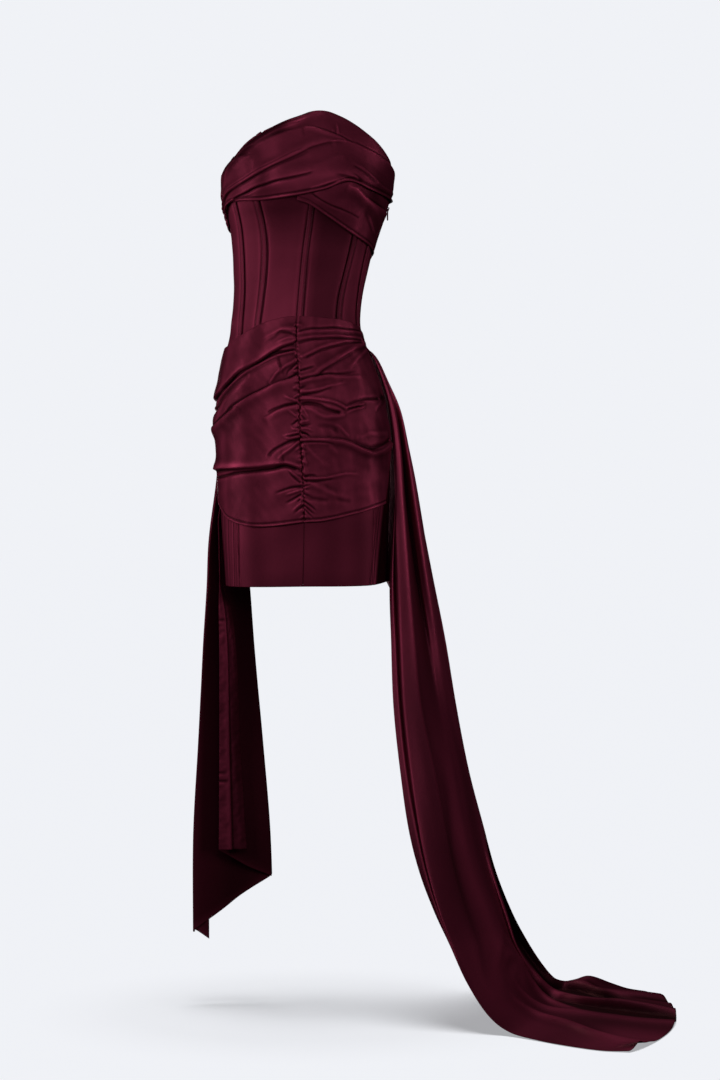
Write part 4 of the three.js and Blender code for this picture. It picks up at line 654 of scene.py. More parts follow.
BAND_FOLDS = [
    (2.6, 14, 3, 1, 1, [(98, 168), (140, 150), (190, 146), (225, 148), (255, 151), (281, 156)]),
    (2.6, 9, 2.4, 1, 1, [(98, 138), (130, 132), (190, 128), (240, 134), (262, 140), (281, 147)]),
    (2.2, 10, 2.5, 1, 0.2, [(98, 104), (130, 108), (170, 114)]),
    (1.2, 5, 2, 1, 0, [(98, 152), (125, 144), (160, 138)]),
    (1.8, 7, 2, 1, 0, [(281, 180), (255, 168), (225, 158)]),
    (2.6, 7, 5, 1, 0, [(281, 137), (262, 130), (240, 122), (215, 116)]),
    (-1.8, 1.8, 2.2, 1, 1, [(98, 161), (140, 144), (190, 140), (225, 142), (255, 146), (281, 152)]),
    (-1.8, 1.8, 2.2, 1, 1, [(98, 132), (130, 126), (190, 122), (240, 128), (262, 135), (281, 142)]),
]
# Gathers at the ruched seam, in millimetres
GATHER_PITCH = 8.0
GATHER_LENGTH = 10.0
GATHER_RISE = 1.0
GATHERS_FROM, GATHERS_TO = -28.0, -338


def gather_rise(away, z, seed):
    """Small uneven folds that start at the ruched seam and die within a centimetre or so."""
    draw = np.random.default_rng(seed)
    total, at = np.zeros(away.shape), GATHERS_FROM
    while at > GATHERS_TO:
        at -= GATHER_PITCH * draw.uniform(0.6, 1.4)
        length, drop = GATHER_LENGTH * draw.uniform(0.6, 1.7), draw.uniform(-0.2, 0.7)
        rise, wide = GATHER_RISE * draw.uniform(0.5, 1.3), draw.uniform(1.8, 2.8)
        middle = at - drop * away
        fade = 1 - smooth(away / length)
        total += rise * fade * (bell((z - middle) / wide) - 0.6 * bell((z - middle + 1.7 * wide) / wide))
    return total


def edge_samples(count, length, rounding):
    """Places from 0 to 1 along a piece of the given length, with more of them at its rounded edges."""
    close = np.array([0, 0.12, 0.45]) * rounding / length
    inside = np.linspace(rounding / length, 1 - rounding / length, count)
    return np.concatenate([close, inside, 1 - close[::-1]])


def roundness(places, length, rounding):
    """Share of the wall's thickness at each place: it falls to nothing in a round at both edges."""
    d = np.clip(np.minimum(places, 1 - places) * length / rounding, 0, 1)
    return np.sqrt(np.clip(1 - (1 - d) ** 2, 0, 1))


def blurred(grid, cells, axis):
    """A grid of points averaged over some cells to each side along one of its directions."""
    pad = [(0, 0)] * 3
    pad[axis] = (cells + 1, cells)
    total = np.cumsum(np.pad(grid, pad, mode="edge"), axis=axis)
    size = grid.shape[axis]
    after = np.take(total, np.arange(size) + 2 * cells + 1, axis=axis)
    before = np.take(total, np.arange(size), axis=axis)
    return (after - before) / (2 * cells + 1)


def painted_fold_shade(points, normal, looks):
    """Painted shade and highlight: the share of light a fold leaves to each point, below 1 in a crease, above
    1 on a ridge.
    """
    depth = 0
    for reach, weight in looks:
        around = points
        for axis in (0, 1):
            pitch = along_grid(points, axis)[-1] / points.shape[axis]
            around = blurred(around, max(1, round(reach / pitch)), axis)
        depth = depth + weight * ((around - points) * normal).sum(-1)
    return np.clip(np.exp(-depth), 0.05, 1.6)


# How a fold's painted shade is judged: by looking round a point this far in millimetres, with this weight
DRAPE_LOOKS = [(2.2, 1.5), (7.0, 0.42)]
TRAIN_LOOKS = [(3.5, 0.35), (14.0, 0.17)]
# Painted shade: how much darker the cloth is that lies on the floor, and the far part of it
FLOOR_PAINTED_SHADE, FAR_PAINTED_SHADE = 0.5, 0.55


def add_object(name, data):
    made = bpy.data.objects.new(name, data)
    bpy.context.scene.collection.objects.link(made)
    return made


def cloth_mesh(name, middle, normal, half, look, shade=None, light=1.0, measured=None):
    """A closed thin wall of cloth round a grid of points, with its rim drawn to one line of points.

    Places on the cloth are measured in millimetres along the middle, or else along the given grid.
    """
    columns, rows = middle.shape[0] - 1, middle.shape[1] - 1
    # painted shade and highlight of the folds, times the painted light, go into the colour through the
    # attribute below
    if shade is None:
        shade = painted_fold_shade(middle, normal, DRAPE_LOOKS)
    shade = np.clip(shade * light, 0.04, 2.6)
    outer = (middle + normal * half[..., None]).reshape(-1, 3)
    inner = middle - normal * half[..., None]
    ids = np.arange((columns + 1) * (rows + 1)).reshape(columns + 1, rows + 1)
    hidden = ids.copy()
    core = (slice(1, columns), slice(1, rows))
    hidden[core] = len(outer) + np.arange((columns - 1) * (rows - 1)).reshape(columns - 1, rows - 1)
    points = np.vstack([outer, inner[core].reshape(-1, 3)]) * MM
    front = np.stack([ids[:-1, :-1], ids[1:, :-1], ids[1:, 1:], ids[:-1, 1:]], -1).reshape(-1, 4)
    back = np.stack([hidden[:-1, :-1], hidden[:-1, 1:], hidden[1:, 1:], hidden[1:, :-1]], -1).reshape(-1, 4)
    faces = np.vstack([front, back])
    mesh = bpy.data.meshes.new(name)
    mesh.vertices.add(len(points))
    mesh.vertices.foreach_set("co", points.ravel())
    mesh.loops.add(faces.size)
    mesh.loops.foreach_set("vertex_index", faces.ravel())
    mesh.polygons.add(len(faces))
    mesh.polygons.foreach_set("loop_start", np.arange(0, faces.size, 4))
    mesh.polygons.foreach_set("loop_total", np.full(len(faces), 4))
    mesh.polygons.foreach_set("use_smooth", np.ones(len(faces), bool))
    measured = middle if measured is None else measured
    u, v = along_grid(measured, 0)[:, None], along_grid(measured, 1)[None, :]
    grid = np.stack(np.broadcast_arrays(u, v), -1)
    corner_places = np.vstack([grid.reshape(-1, 2), grid[core].reshape(-1, 2)])
    layer = mesh.uv_layers.new(name="cloth")
    layer.data.foreach_set("uv", (corner_places[faces.ravel()] * MM).ravel())
    painted_shade_layer = mesh.attributes.new("painted_fold_shade", "FLOAT", "POINT")
    painted_shade_layer.data.foreach_set("value", np.concatenate([shade.ravel(), shade[core].ravel()]))
    mesh.update(calc_edges=True)
    mesh.validate()
    piece = add_object(name, mesh)
    mesh.materials.append(look)
    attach(piece, CLOTH_BODY)
    return piece


def along_grid(points, axis):
    """Length in millimetres from the first line of a grid to each other one, along its middle."""
    line = np.take(points, points.shape[1 - axis] // 2, axis=1 - axis)
    steps = np.linalg.norm(np.diff(line, axis=0), axis=1)
    return np.concatenate([[0], np.cumsum(steps)])


def grid_normal(points):
    around = np.gradient(points, axis=0)
    up = np.gradient(points, axis=1)
    return unit(np.cross(around, up))


def cloth_places(columns, rows, size, rounding):
    """Places from 0 to 1 across and up a piece of cloth."""
    return edge_samples(columns, size[0], rounding), edge_samples(rows, size[1], rounding)


def half_wall(s, t, size, thick, rounding):
    """Half the cloth's thickness at each of its places."""
    return thick / 2 * np.minimum(roundness(s, size[0], rounding)[:, None],
                                  roundness(t, size[1], rounding)[None, :])


def finish_cloth(name, outer, normal, thick, s, t, size, rounding, look, light=1.0):
    """Closes a grid of outer points into a wall of the given thickness with round edges."""
    return cloth_mesh(name, outer - normal * (thick / 2), normal, half_wall(s, t, size, thick, rounding),
                      look, light=light, measured=outer)


def ripple(u, v, seed, rise, wave):
    """A low uneven waviness, as firm cloth has: a few crossing waves with fixed random phases."""
    draw = np.random.default_rng(seed)
    total = np.zeros(np.broadcast(u, v).shape)
    for _ in range(6):
        angle, phase, size = draw.uniform(0, np.pi), draw.uniform(0, 2 * np.pi), draw.uniform(0.7, 1.6)
        total = total + np.sin((u * np.cos(angle) + v * np.sin(angle)) * 2 * np.pi / (wave * size) + phase)
    return rise * total / 6


def panel(name, start, end, bottom, top, columns, rows, size, look, start_gap=SEWN_GAP,
          end_gap=SEWN_GAP, offset=0.0, thick=PANEL_THICK, rounding=PANEL_ROUND, extra=None, light=None):
    """Cloth on the figure between two seams, start and end, and two edges, bottom and top."""
    s, t = cloth_places(columns, rows, size, rounding)
    middle = (bottom(start(0.0)) + top(start(0.0))) / 2
    rough = mix(start(middle), end(middle), s)[:, None] + 0 * t[None, :]
    z = mix(bottom(rough), top(rough), t[None, :])
    az = mix(beside(start, start_gap)(z), beside(end, -end_gap)(z), s[:, None])
    outer = on_figure(az, z, offset + (extra(az, z) if extra else 0.0) + 0 * az)
    # light gives painted light and shade, which goes into the cloth's colour
    return finish_cloth(name, outer, outward(az, z), thick, s, t, size, rounding, look,
                        light=light(az, z) if light else 1.0)


# Looks

def put(tree, node, **values):
    """Fills a node's settings and sockets. A _ stands for a blank; an output is linked to its socket."""
    for key, value in values.items():
        name = key.replace("_", " ")
        if hasattr(node, key):
            setattr(node, key, value)
        elif isinstance(value, bpy.types.NodeSocket):
            tree.links.new(value, node.inputs[name])
        else:
            node.inputs[name].default_value = value


def add_node(tree, kind, **values):
    node = tree.nodes.new(kind)
    put(tree, node, **values)
    return node


def new_look(name):
    look = bpy.data.materials.new(name)
    look.use_nodes = True
    return look, look.node_tree, look.node_tree.nodes["Principled BSDF"]


def tint(colour, share):
    return (*[min(1, c * share) for c in colour], 1)


def satin(name, colour, roughness, wrinkle, seed, weft_up):
    """Satin in one dye: long floats that gleam along one direction, fine weave, soft creases."""
    look, tree, shader = new_look(name)
    uv = add_node(tree, "ShaderNodeUVMap", uv_map="cloth").outputs["UV"]
    place = add_node(tree, "ShaderNodeTexCoord").outputs["Object"]

    shift = add_node(tree, "ShaderNodeMapping", Location=(seed * 1.7, seed * 0.9, seed * 2.3), Vector=place)
    cloudy = add_node(tree, "ShaderNodeTexNoise", Scale=7.0, Detail=3.0, Roughness=0.55,
                      Vector=shift.outputs["Vector"])
    stretch = add_node(tree, "ShaderNodeMapping", Vector=uv,
                       Scale=(160, 900, 1) if weft_up else (900, 160, 1))
    slub = add_node(tree, "ShaderNodeTexNoise", Scale=1.0, Detail=2.0, Roughness=0.6,
                    Vector=stretch.outputs["Vector"]).outputs["Fac"]

    dyed = add_node(tree, "ShaderNodeMix", data_type="RGBA", A=tint(colour, 0.86), B=tint(colour, 1.12),
                    Factor=cloudy.outputs["Fac"])
    shade = add_node(tree, "ShaderNodeMapRange", From_Min=0.3, From_Max=0.7, To_Min=0.78, To_Max=1.12,
                     Value=slub)
    fleck = add_node(tree, "ShaderNodeMix", data_type="RGBA", blend_type="MULTIPLY", Factor=0.35,
                     A=dyed.outputs["Result"], B=shade.outputs["Result"])
    # the painted shade and highlight kept on the cloth darken or lighten the dyed colour
    folded = add_node(tree, "ShaderNodeAttribute", attribute_name="painted_fold_shade")
    deep = add_node(tree, "ShaderNodeMix", data_type="RGBA", blend_type="MULTIPLY", Factor=1.0,
                    A=fleck.outputs["Result"], B=folded.outputs["Fac"])
    gleam = add_node(tree, "ShaderNodeMapRange", From_Min=0.25, From_Max=0.75, To_Min=roughness - 0.05,
                     To_Max=roughness + 0.06, Value=slub)

    weave = add_node(tree, "ShaderNodeTexWave", wave_type="BANDS", bands_direction="X" if weft_up else "Y",
                     Scale=380.0, Distortion=1.5, Detail=1.0, Vector=uv)
    crumpled = add_node(tree, "ShaderNodeTexNoise", Scale=38.0, Detail=4.0, Roughness=0.5, Distortion=0.6,
                        Vector=place)
    woven = add_node(tree, "ShaderNodeBump", Strength=0.12, Distance=0.0002, Height=weave.outputs["Fac"])
    creased = add_node(tree, "ShaderNodeBump", Strength=wrinkle, Distance=0.002,
                       Height=crumpled.outputs["Fac"], Normal=woven.outputs["Normal"])
    tangent = add_node(tree, "ShaderNodeTangent", direction_type="UV_MAP", uv_map="cloth")
    put(tree, shader, Base_Color=deep.outputs["Result"], Roughness=gleam.outputs["Result"],
        Normal=creased.outputs["Normal"], Tangent=tangent.outputs["Tangent"], Anisotropic=0.5,
        Anisotropic_Rotation=0.0 if weft_up else 0.25, Metallic=0.6, Specular_IOR_Level=0.15,
        Specular_Tint=(1.0, 0.3, 0.45, 1))
    return look


def grained(name, colour, scale, detail, dim, bright):
    """The start of a look with a fine grain of two tones."""
    look, tree, shader = new_look(name)
    place = add_node(tree, "ShaderNodeTexCoord").outputs["Object"]
    grain = add_node(tree, "ShaderNodeTexNoise", Scale=scale, Detail=detail, Vector=place).outputs["Fac"]
    tone = add_node(tree, "ShaderNodeMix", data_type="RGBA", A=tint(colour, dim), B=tint(colour, bright),
                    Factor=grain)
    put(tree, shader, Base_Color=tone.outputs["Result"])
    return look, tree, shader, grain


def metal(name, colour, roughness):
    """Lacquered metal with fine wear along its brushed grain."""
    look, tree, shader, grain = grained(name, colour, 900.0, 3.0, 0.8, 1.25)
    wear = add_node(tree, "ShaderNodeMapRange", To_Min=roughness - 0.08, To_Max=roughness + 0.12, Value=grain)
    put(tree, shader, Roughness=wear.outputs["Result"], Metallic=1.0)
    return look


def thread(name, colour):
    look, tree, shader, _ = grained(name, colour, 2500.0, 1.0, 0.7, 1.4)
    put(tree, shader, Roughness=0.5, Sheen_Weight=0.3)
    return look


# The satins: share of the dye's colour, below 1 where the one dye is darkened as painted shade; change of
# roughness, creases, seed, whether its weft runs up
SATINS = {
    "satin_corset": (1, 0.03, 0.1, 1, True),
    "satin_drape": (1, 0, 0.22, 2, False),
    "satin_skirt_painted_shade": (0.85, 0.04, 0.1, 3, False),
    "satin_train": (1, -0.02, 0.12, 4, True),
    "satin_tail_painted_shade": (0.8, 0.02, 0.12, 5, True),
}


def look_of(name):
    """The dress's materials, each made once and then shared."""
    settings = bpy.context.scene.dress
    if name in bpy.data.materials:
        return bpy.data.materials[name]
    if name in SATINS:
        share, duller, *rest = SATINS[name]
        colour = [c * share for c in settings.satin_colour]
        return satin(name, colour, settings.satin_roughness + duller, *rest)
    if name == "zip_metal":
        return metal(name, settings.zip_colour, 0.32)
    return thread(name, settings.thread_colour)


def hold_flat(nodes):
    """Hides the solid that a cloth piece stands for."""
    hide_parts(nodes)


# Corset and skirt

# One column of points in this many millimetres, and the rows of points
CORSET_PITCH, CORSET_ROWS = 2.6, 56
SKIRT_PITCH, SKIRT_ROWS = 1.6, 16
# Panels: name, first seam, last seam, size in mm, flat cut in m, gaps at the seams where not sewn
CORSET_PANELS = [
    ("corset_side_left", fixed(SIDE_SEAM_LEFT), seam("far_left"), (54, 295), (0.062, 0.305)),
    ("corset_side_front_left", seam("far_left"), seam("left"), (46, 325), (0.052, 0.335)),
    ("corset_front_left", seam("left"), seam("centre"), (76, 352), (0.088, 0.36)),
    ("corset_front_right", seam("centre"), seam("right"), (70, 354), (0.084, 0.36)),
    ("corset_side_front_right", seam("right"), seam("far_right"), (48, 322), (0.056, 0.335)),
    ("corset_side_right", seam("far_right"), fixed(ZIP_AZ), (54, 285), (0.064, 0.3), SEWN_GAP, ZIP_SLOT / 2),
    ("corset_back_right", fixed(ZIP_AZ), fixed(CENTRE_BACK), (140, 250), (0.15, 0.26), ZIP_SLOT / 2),
    ("corset_back_left", fixed(CENTRE_BACK), fixed(SIDE_SEAM_LEFT + 360), (150, 255), (0.16, 0.265)),
]
SKIRT_PANELS = [
    ("skirt_side_left", fixed(SKIRT_SIDE_LEFT), fixed(SKIRT_LEFT), (96, 368), (0.105, 0.38)),
    ("skirt_front_left", fixed(SKIRT_LEFT), centre_seam, (118, 368), (0.128, 0.38)),
    ("skirt_front_right", centre_seam, fixed(SKIRT_RIGHT), (122, 368), (0.132, 0.38)),
    ("skirt_side_right", fixed(SKIRT_RIGHT), fixed(SKIRT_SIDE_RIGHT), (104, 365), (0.112, 0.38)),
    ("skirt_back_right", fixed(SKIRT_SIDE_RIGHT), fixed(SKIRT_BACK), (164, 367), (0.174, 0.38)),
    ("skirt_back_left", fixed(SKIRT_BACK), fixed(SKIRT_SIDE_LEFT + 360), (158, 368), (0.168, 0.38)),
]
BONE_LENGTHS = {"far_left": 0.307, "left": 0.34, "centre": 0.372, "right": 0.346, "far_right": 0.306}
CHANNEL_DIP = 2.0
CHANNEL_DIP_WIDE = 1.6
# Painted shadow that the drapes cast on the corset: how much, on its left and right, and how far down
UNDER_DRAPE_PAINTED_SHADOW = (0.14, 0.33)
UNDER_DRAPE_REACH = 22
# Painted shade, and (below 0) painted highlight, on the corset: strength, first degree, over, last degree,
# over
CORSET_PAINTED_LIGHT = [(0.42, 2, 9, 66, 14), (0.25, 14, 6, 48, 6), (0.12, -62, 16, -8, 14), (-0.22, 58, 12, 98, 12)]
# Narrow sewn tucks of the skirt that show under the overskirt: azimuth at their top and bottom
SKIRT_TUCKS = [
    (-75, -78), (-68, -71.8), (-61.5, -64.6), (-56.4, -58.8), (63.2, 57.2), (65.6, 60.2), (102, 102),
    (110, 110), (-110, -110),
]
TUCK_TOP, TUCK_BOTTOM = -345, -445
TUCK_DEEP = 1.5
TUCK_WIDE = 0.9


def corset_waves(az, z):
    """Firm cloth over bones: it dips where a channel is sewn on, and waves a little at the waist."""
    total = ripple(az * MM_PER_DEGREE, z, 11, 0.35, 60) * bell((z + 10) / 90)
    for name in CORSET_SEAMS:
        away = np.abs(az - seam(name)(z)) * degree_length(az, z)
        total -= CHANNEL_DIP * bell((away - BONE_WIDTH / 2 - 0.8) / CHANNEL_DIP_WIDE)
    return total


def corset_painted_light(az, z):
    """Painted light on the corset: a painted shadow under the drape, and painted shade as if lit from the
    left.
    """
    covered = np.where(az < 6, upper_low(az), np.minimum(cross_low(az), upper_low(az)))
    under = mix(*UNDER_DRAPE_PAINTED_SHADOW, smooth((az + 24) / 16))
    under *= bell(np.maximum(covered - z, 0) / UNDER_DRAPE_REACH) * within(az, -70, 20, 100, 20)
    # the corset's painted shade and highlight, band by band
    turned = sum(much * within(az, *limits) for much, *limits in CORSET_PAINTED_LIGHT)
    return np.exp(-(under + turned))


def skirt_tucks(az, z):
    total = np.zeros(az.shape)
    for top_az, hem_az in SKIRT_TUCKS:
        line = mix(hem_az, top_az, (z - TUCK_BOTTOM) / (TUCK_TOP - TUCK_BOTTOM))
        total -= TUCK_DEEP * bell((signed(az) - line) * MM_PER_DEGREE / TUCK_WIDE)
    return total + ripple(az * MM_PER_DEGREE, z, 21, 0.3, 90)


def skirt_painted_shade(az, z):
    """Painted shade on the skirt: where the train keeps the light off its side under the overskirt, along the
    centre seam, and in broad patches.
    """
    around = signed(az)
    line = mix(62, 68, (z - TUCK_BOTTOM) / (TUCK_TOP - TUCK_BOTTOM))
    train_painted_shadow = 1 - 0.9 * within(around, line, 2.5, 125, 10)
    seam_painted_shade = 1 - 0.5 * bell((around - centre_seam(z)) * MM_PER_DEGREE / 1.1)
    return train_painted_shadow * seam_painted_shade * patches(SKIRT_PAINTED_SHADE, around, z)


def make_corset():
    for name, first, last, size, flat, *gaps in CORSET_PANELS:
        piece = panel(name + "_satin", first, last, waist, corset_top, int(size[0] / CORSET_PITCH),
                      CORSET_ROWS, size, look_of("satin_corset"), *gaps, extra=corset_waves,
                      light=corset_painted_light)
        hold_flat(name)


def make_bone_channels():
    for name, length in BONE_LENGTHS.items():
        line = seam(name)
        piece = panel(
            f"bone_channel_{name}_satin", beside(line, -BONE_WIDTH / 2), beside(line, BONE_WIDTH / 2), waist,
            corset_top, 7, CORSET_ROWS, (BONE_WIDTH, 350), look_of("satin_corset"), 0, 0,
            offset=BONE_CLEAR + BONE_RISE, thick=BONE_RISE, rounding=1.6,
            extra=lambda az, z: 0.25 * bell((az - line(z)) * MM_PER_DEGREE / 2.2) - 0.25, light=corset_painted_light,
        )
        hold_flat(f"bone_channel_{name}")


def make_skirt():
    for name, first, last, size, flat in SKIRT_PANELS:
        piece = panel(name + "_satin", first, last, skirt_hem, fixed(WAIST_SEAM - SEAM_GAP),
                      int(size[0] / SKIRT_PITCH), SKIRT_ROWS, size, look_of("satin_skirt_painted_shade"),
                      extra=skirt_tucks, light=skirt_painted_shade)
        hold_flat(name)


# Drapes

def drape(node, az_of, low, high, columns, rows, size, lift, painted_dark, lit=None):
    """A drape over the figure: az_of gives azimuths by place and height, lift how far it stands off."""
    s, t = cloth_places(columns, rows, size, DRAPE_ROUND)
    across, upward = np.broadcast_arrays(s[:, None], t[None, :])
    az = az_of(across, 0 * across)
    for _ in range(2):
        az = az_of(across, mix(low(az), high(az), upward))
    z = mix(low(az), high(az), upward)
    outer = on_figure(az, z, lift(az, z, upward) + CLOTH)
    # painted light: patches of painted shade and highlight, times the painted shade of lit, if given
    light = patches(painted_dark, az, z) * (lit(az, z) if lit else 1)
    piece = finish_cloth(node + "_satin", outer, outward(az, z), DRAPE_THICK, s, t, size, DRAPE_ROUND,
                         look_of("satin_drape"), light=light)
    hold_flat(node)


def patches(rows, az, z):
    """Painted light of broad patches of a drape, shade or highlight: azimuth, height, their reaches, slant,
    strength.
    """
    total = 0.0 * az
    for at_az, at_z, wide, tall, slant, strength in rows:
        x, y = (az - at_az) * MM_PER_DEGREE, z - at_z
        turn = np.radians(slant)
        along, across = x * np.cos(turn) + y * np.sin(turn), -x * np.sin(turn) + y * np.cos(turn)
        total += strength * bell(along / wide) * bell(across / tall)
    return np.exp(-total)


# Painted shade and (below 0) painted highlight patches: azimuth, height, reach along and across in mm, slant,
# strength
UPPER_PAINTED_SHADE = [
    (-86, 150, 20, 40, 0, 0.5), (52, 190, 60, 16, -30, 0.45), (80, 165, 36, 30, -20, 0.45),
    (-28, 192, 46, 11, 22, 0.4), (8, 170, 40, 8, 10, 0.3), (54, 209, 30, 14, -30, 0.15),
    (-42, 232, 40, 14, 24, 0.22),
]
CROSS_PAINTED_LIGHT = [
    (30, 135, 40, 12, -30, 0.3), (82, 112, 24, 30, -20, 0.35), (55, 171, 26, 6, -24, 0.9),
    (52, 163, 42, 3.2, -28, -0.55), (50, 152, 34, 6, -28, 0.45), (66, 135, 24, 6, -30, 0.3),
]
OVER_LEFT_PAINTED_LIGHT = [
    (-62, -180, 60, 16, 32, 0.2), (-84, -150, 24, 60, 0, 0.35), (-30, -120, 40, 18, 24, 0.2),
    (-59, -152, 13, 34, 0, 0.55), (-57, -200, 15, 26, 0, 0.4), (-56, -309, 17, 36, 0, 0.45),
    (-74, -309, 16, 30, 0, 0.2), (-56, -254, 34, 5, 0, -0.75), (-30, -150, 14, 24, 20, -0.15),
    (-66, -240, 24, 14, 0, 0.2), (-20, -390, 60, 24, 0, 0.2), (-48, -350, 30, 14, 0, 0.25),
]
OVER_RIGHT_PAINTED_LIGHT = [
    (56, -240, 22, 20, 0, 0.35), (62, -210, 14, 40, 0, 0.3), (62, -330, 12, 40, 0, 0.15),
    (20, -152, 34, 22, 10, -0.45), (31, -66, 34, 14, 0, -0.28), (60, -150, 18, 26, 0, 0.3),
    (9, -199, 12, 14, 0, -0.25), (62, -309, 18, 22, 0, -0.3), (33, -300, 30, 18, 0, -0.15),
    (27, -199, 16, 12, 0, 0.15), (72, -146, 9, 6, 35, 2.2), (62, -140, 14, 8, 0, 0.3),
]
SKIRT_PAINTED_SHADE = [(-55, -400, 14, 60, 0, 0.15), (-24, -400, 24, 60, 0, 0.17), (52, -400, 12, 60, 0, 0.35)]
# Painted shade: how much darker the cloth is that rolls in under the left of the neckline
NECK_PAINTED_SHADE = 1.2


def neck_painted_shade(az, z):
    """Painted shade: at the left the cloth that rolls in under the neckline is darkened, as it is turned away
    from the light.
    """
    below = neckline(az) - z
    strip = within(below, -1, 3, mix(19, 26, (az + 60) / 40), 6)
    return np.exp(-NECK_PAINTED_SHADE * strip * within(az, -84, 14, -12, 12))


def edge_roll(up):
    """The turned edge of a drape: a small roll along it and the stitched dip above that."""
    return 0.9 * bell((up - 2.0) / 1.8) - 0.7 * bell((up - 5.6) / 1.4)


def crumple(az, z, seed, rise):
    """Slack cloth is never quite smooth: broad low waves with finer ones on them."""
    x = az * MM_PER_DEGREE
    return ripple(x, z, seed, rise, 42) + ripple(x, z, seed + 1, 0.2 * rise, 19)


def sewn_in(lift, az):
    """Both ends of a drape lie flat where they are sewn in beside the zip."""
    before = mix(lift, SEWN_END, smooth((az - 81) / 12) * (az < ZIP_AZ))
    return mix(SEWN_END, before, np.where(az > ZIP_AZ, smooth((az - 102) / 9), 1.0))


def upper_lift(az, z, share):
    crossed = smooth((az + 30) / 30)
    over_cross = mix(OVER_CROSS, OVER_BONES, smooth((share - 0.12) / 0.3))
    base = mix(OVER_BONES, mix(over_cross, OVER_BONES + 0.8, smooth((az - 74) / 14)), crossed)
    base = mix(ON_PANEL + 0.2, base, smooth((az - BUST_LEFT_END) / 9))
    # the cloth rolls in over the corset's top, most of all on the left
    below = neckline(az) - z
    rolled = within(az, -84, 14, 8, 20)
    roll = mix(-1.0, -5.2, rolled) * bell(below / 6) + 3.0 * rolled * bell((below - 13) / 6)
    low = mix(-2.2, 0.8, smooth((below - 1) / 3))
    rise = fold_rise(UPPER_FOLDS, az, z, -77, 94) + edge_roll(z - upper_low(az)) + crumple(az, z, 31, 0.7)
    return sewn_in(at_least(low, base + rise + roll), az)


def cross_lift(az, z, share):
    rise = fold_rise(CROSS_FOLDS, az, z, -10, 86) + edge_roll(z - cross_low(az)) + crumple(az, z, 35, 0.5)
    return sewn_in(at_least(0.6, OVER_BONES + rise), az)


def band_lift(az, z, share):
    rise = fold_rise(BAND_FOLDS, az, z) + edge_roll(z - band_low(az)) + crumple(az, z, 37, 0.5)
    return sewn_in(at_least(0.3, ON_PANEL + rise), az)


def make_bust_drape():
    right_end = zip_side(-ZIP_DRAPE_SLOT / 2)
    drape("bust_drape_upper", lambda s, z: mix(BUST_LEFT_END, right_end(z), s), upper_low, neckline,
          280, 150, (330, 100), upper_lift,
          UPPER_PAINTED_SHADE, neck_painted_shade)
    drape("bust_drape_cross", lambda s, z: mix(CROSS_STARTS_AT, right_end(z), s), cross_low,
          lambda az: upper_low(az) - 0.6, 160, 80, (215, 60), cross_lift,
          CROSS_PAINTED_LIGHT)
    left_end = zip_side(ZIP_DRAPE_SLOT / 2)
    drape("bust_band_back", lambda s, z: mix(left_end(z), BUST_LEFT_END + 360 - 0.25, s), band_low, neckline,
          150, 60, (330, 75), band_lift,
          ())


# The groove along the ruched seam
SEAM_GROOVE_DEEP = 2.0
SEAM_GROOVE_WIDE = 2.2


def over_lift(folds, first, last, seed):
    """How far a half of the overskirt stands off; its folds fade out between first and last."""
    def lift(az, z, share):
        away = np.abs(az - centre_seam(z)) * MM_PER_DEGREE
        base = mix(ON_PANEL, OVER_BONES, smooth((az - OVER_LEFT_END) / 14))
        rise = fold_rise(folds, az, z, first, last) + gather_rise(away, z, seed) + edge_roll(z - over_hem(az))
        rise += crumple(az, z, 50 + seed, 1.0)
        groove = SEAM_GROOVE_DEEP * bell(away / SEAM_GROOVE_WIDE)
        low = mix(-0.3, 0.7, smooth((z + 95) / 20))
        return at_least(low, base + rise - groove)
    return lift


def make_overskirt():
    left_of_seam, right_of_seam = beside(centre_seam, -SEWN_GAP), beside(centre_seam, SEWN_GAP)
    drape("overskirt_left", lambda s, z: mix(left_of_seam(z), OVER_LEFT_END, (1 - s) ** 1.3), over_hem,
          over_top, 160, 250, (230, 300), over_lift(OVER_LEFT_FOLDS, -100, -4, 3),
          OVER_LEFT_PAINTED_LIGHT)
    free_edge = edge(OVER_FREE_EDGE)
    drape("overskirt_right", lambda s, z: mix(right_of_seam(z), free_edge(z), s ** 1.3), over_hem,
          over_top, 125, 250, (165, 310), over_lift(OVER_RIGHT_FOLDS, 6, 64, 8),
          OVER_RIGHT_PAINTED_LIGHT)


# Train and tail

def straight(rows, column, at):
    """As curve, but in straight steps from row to row."""
    table = np.asarray(rows, float)
    return np.interp(at, table[:, 0], table[:, column])


def fold_row(rows, across, station, between=curve):
    """One lengthwise fold of the train: (station, place, rise, spread) or with a spread to each side."""
    rows = [(*r, r[3]) if len(r) == 4 else r for r in rows]
    place, high, near, far = (between(rows, k, station) for k in (1, 2, 3, 4))
    return high * bell((across - place) / np.maximum(np.where(across < place, near, far), SHARPEST_FOLD))


def train_folds(table, across, station, between=curve):
    return sum(fold_row(rows, across, station, between) for rows in table)


def train_creases(across, station):
    total = np.zeros(across.shape)
    for (s0, a0), (s1, a1), rise, wide in TRAIN_CREASES:
        run = np.array([s1 - s0, (a1 - a0) * 6])
        x, y = station - s0, (across - a0) * 6
        t = np.clip((x * run[0] + y * run[1]) / (run @ run), 0, 1)
        away = np.hypot(x - t * run[0], y - t * run[1])
        total += rise * np.sin(np.pi * np.clip(t, 0.02, 0.98)) ** 0.5 * bell(away / wide)
    return total


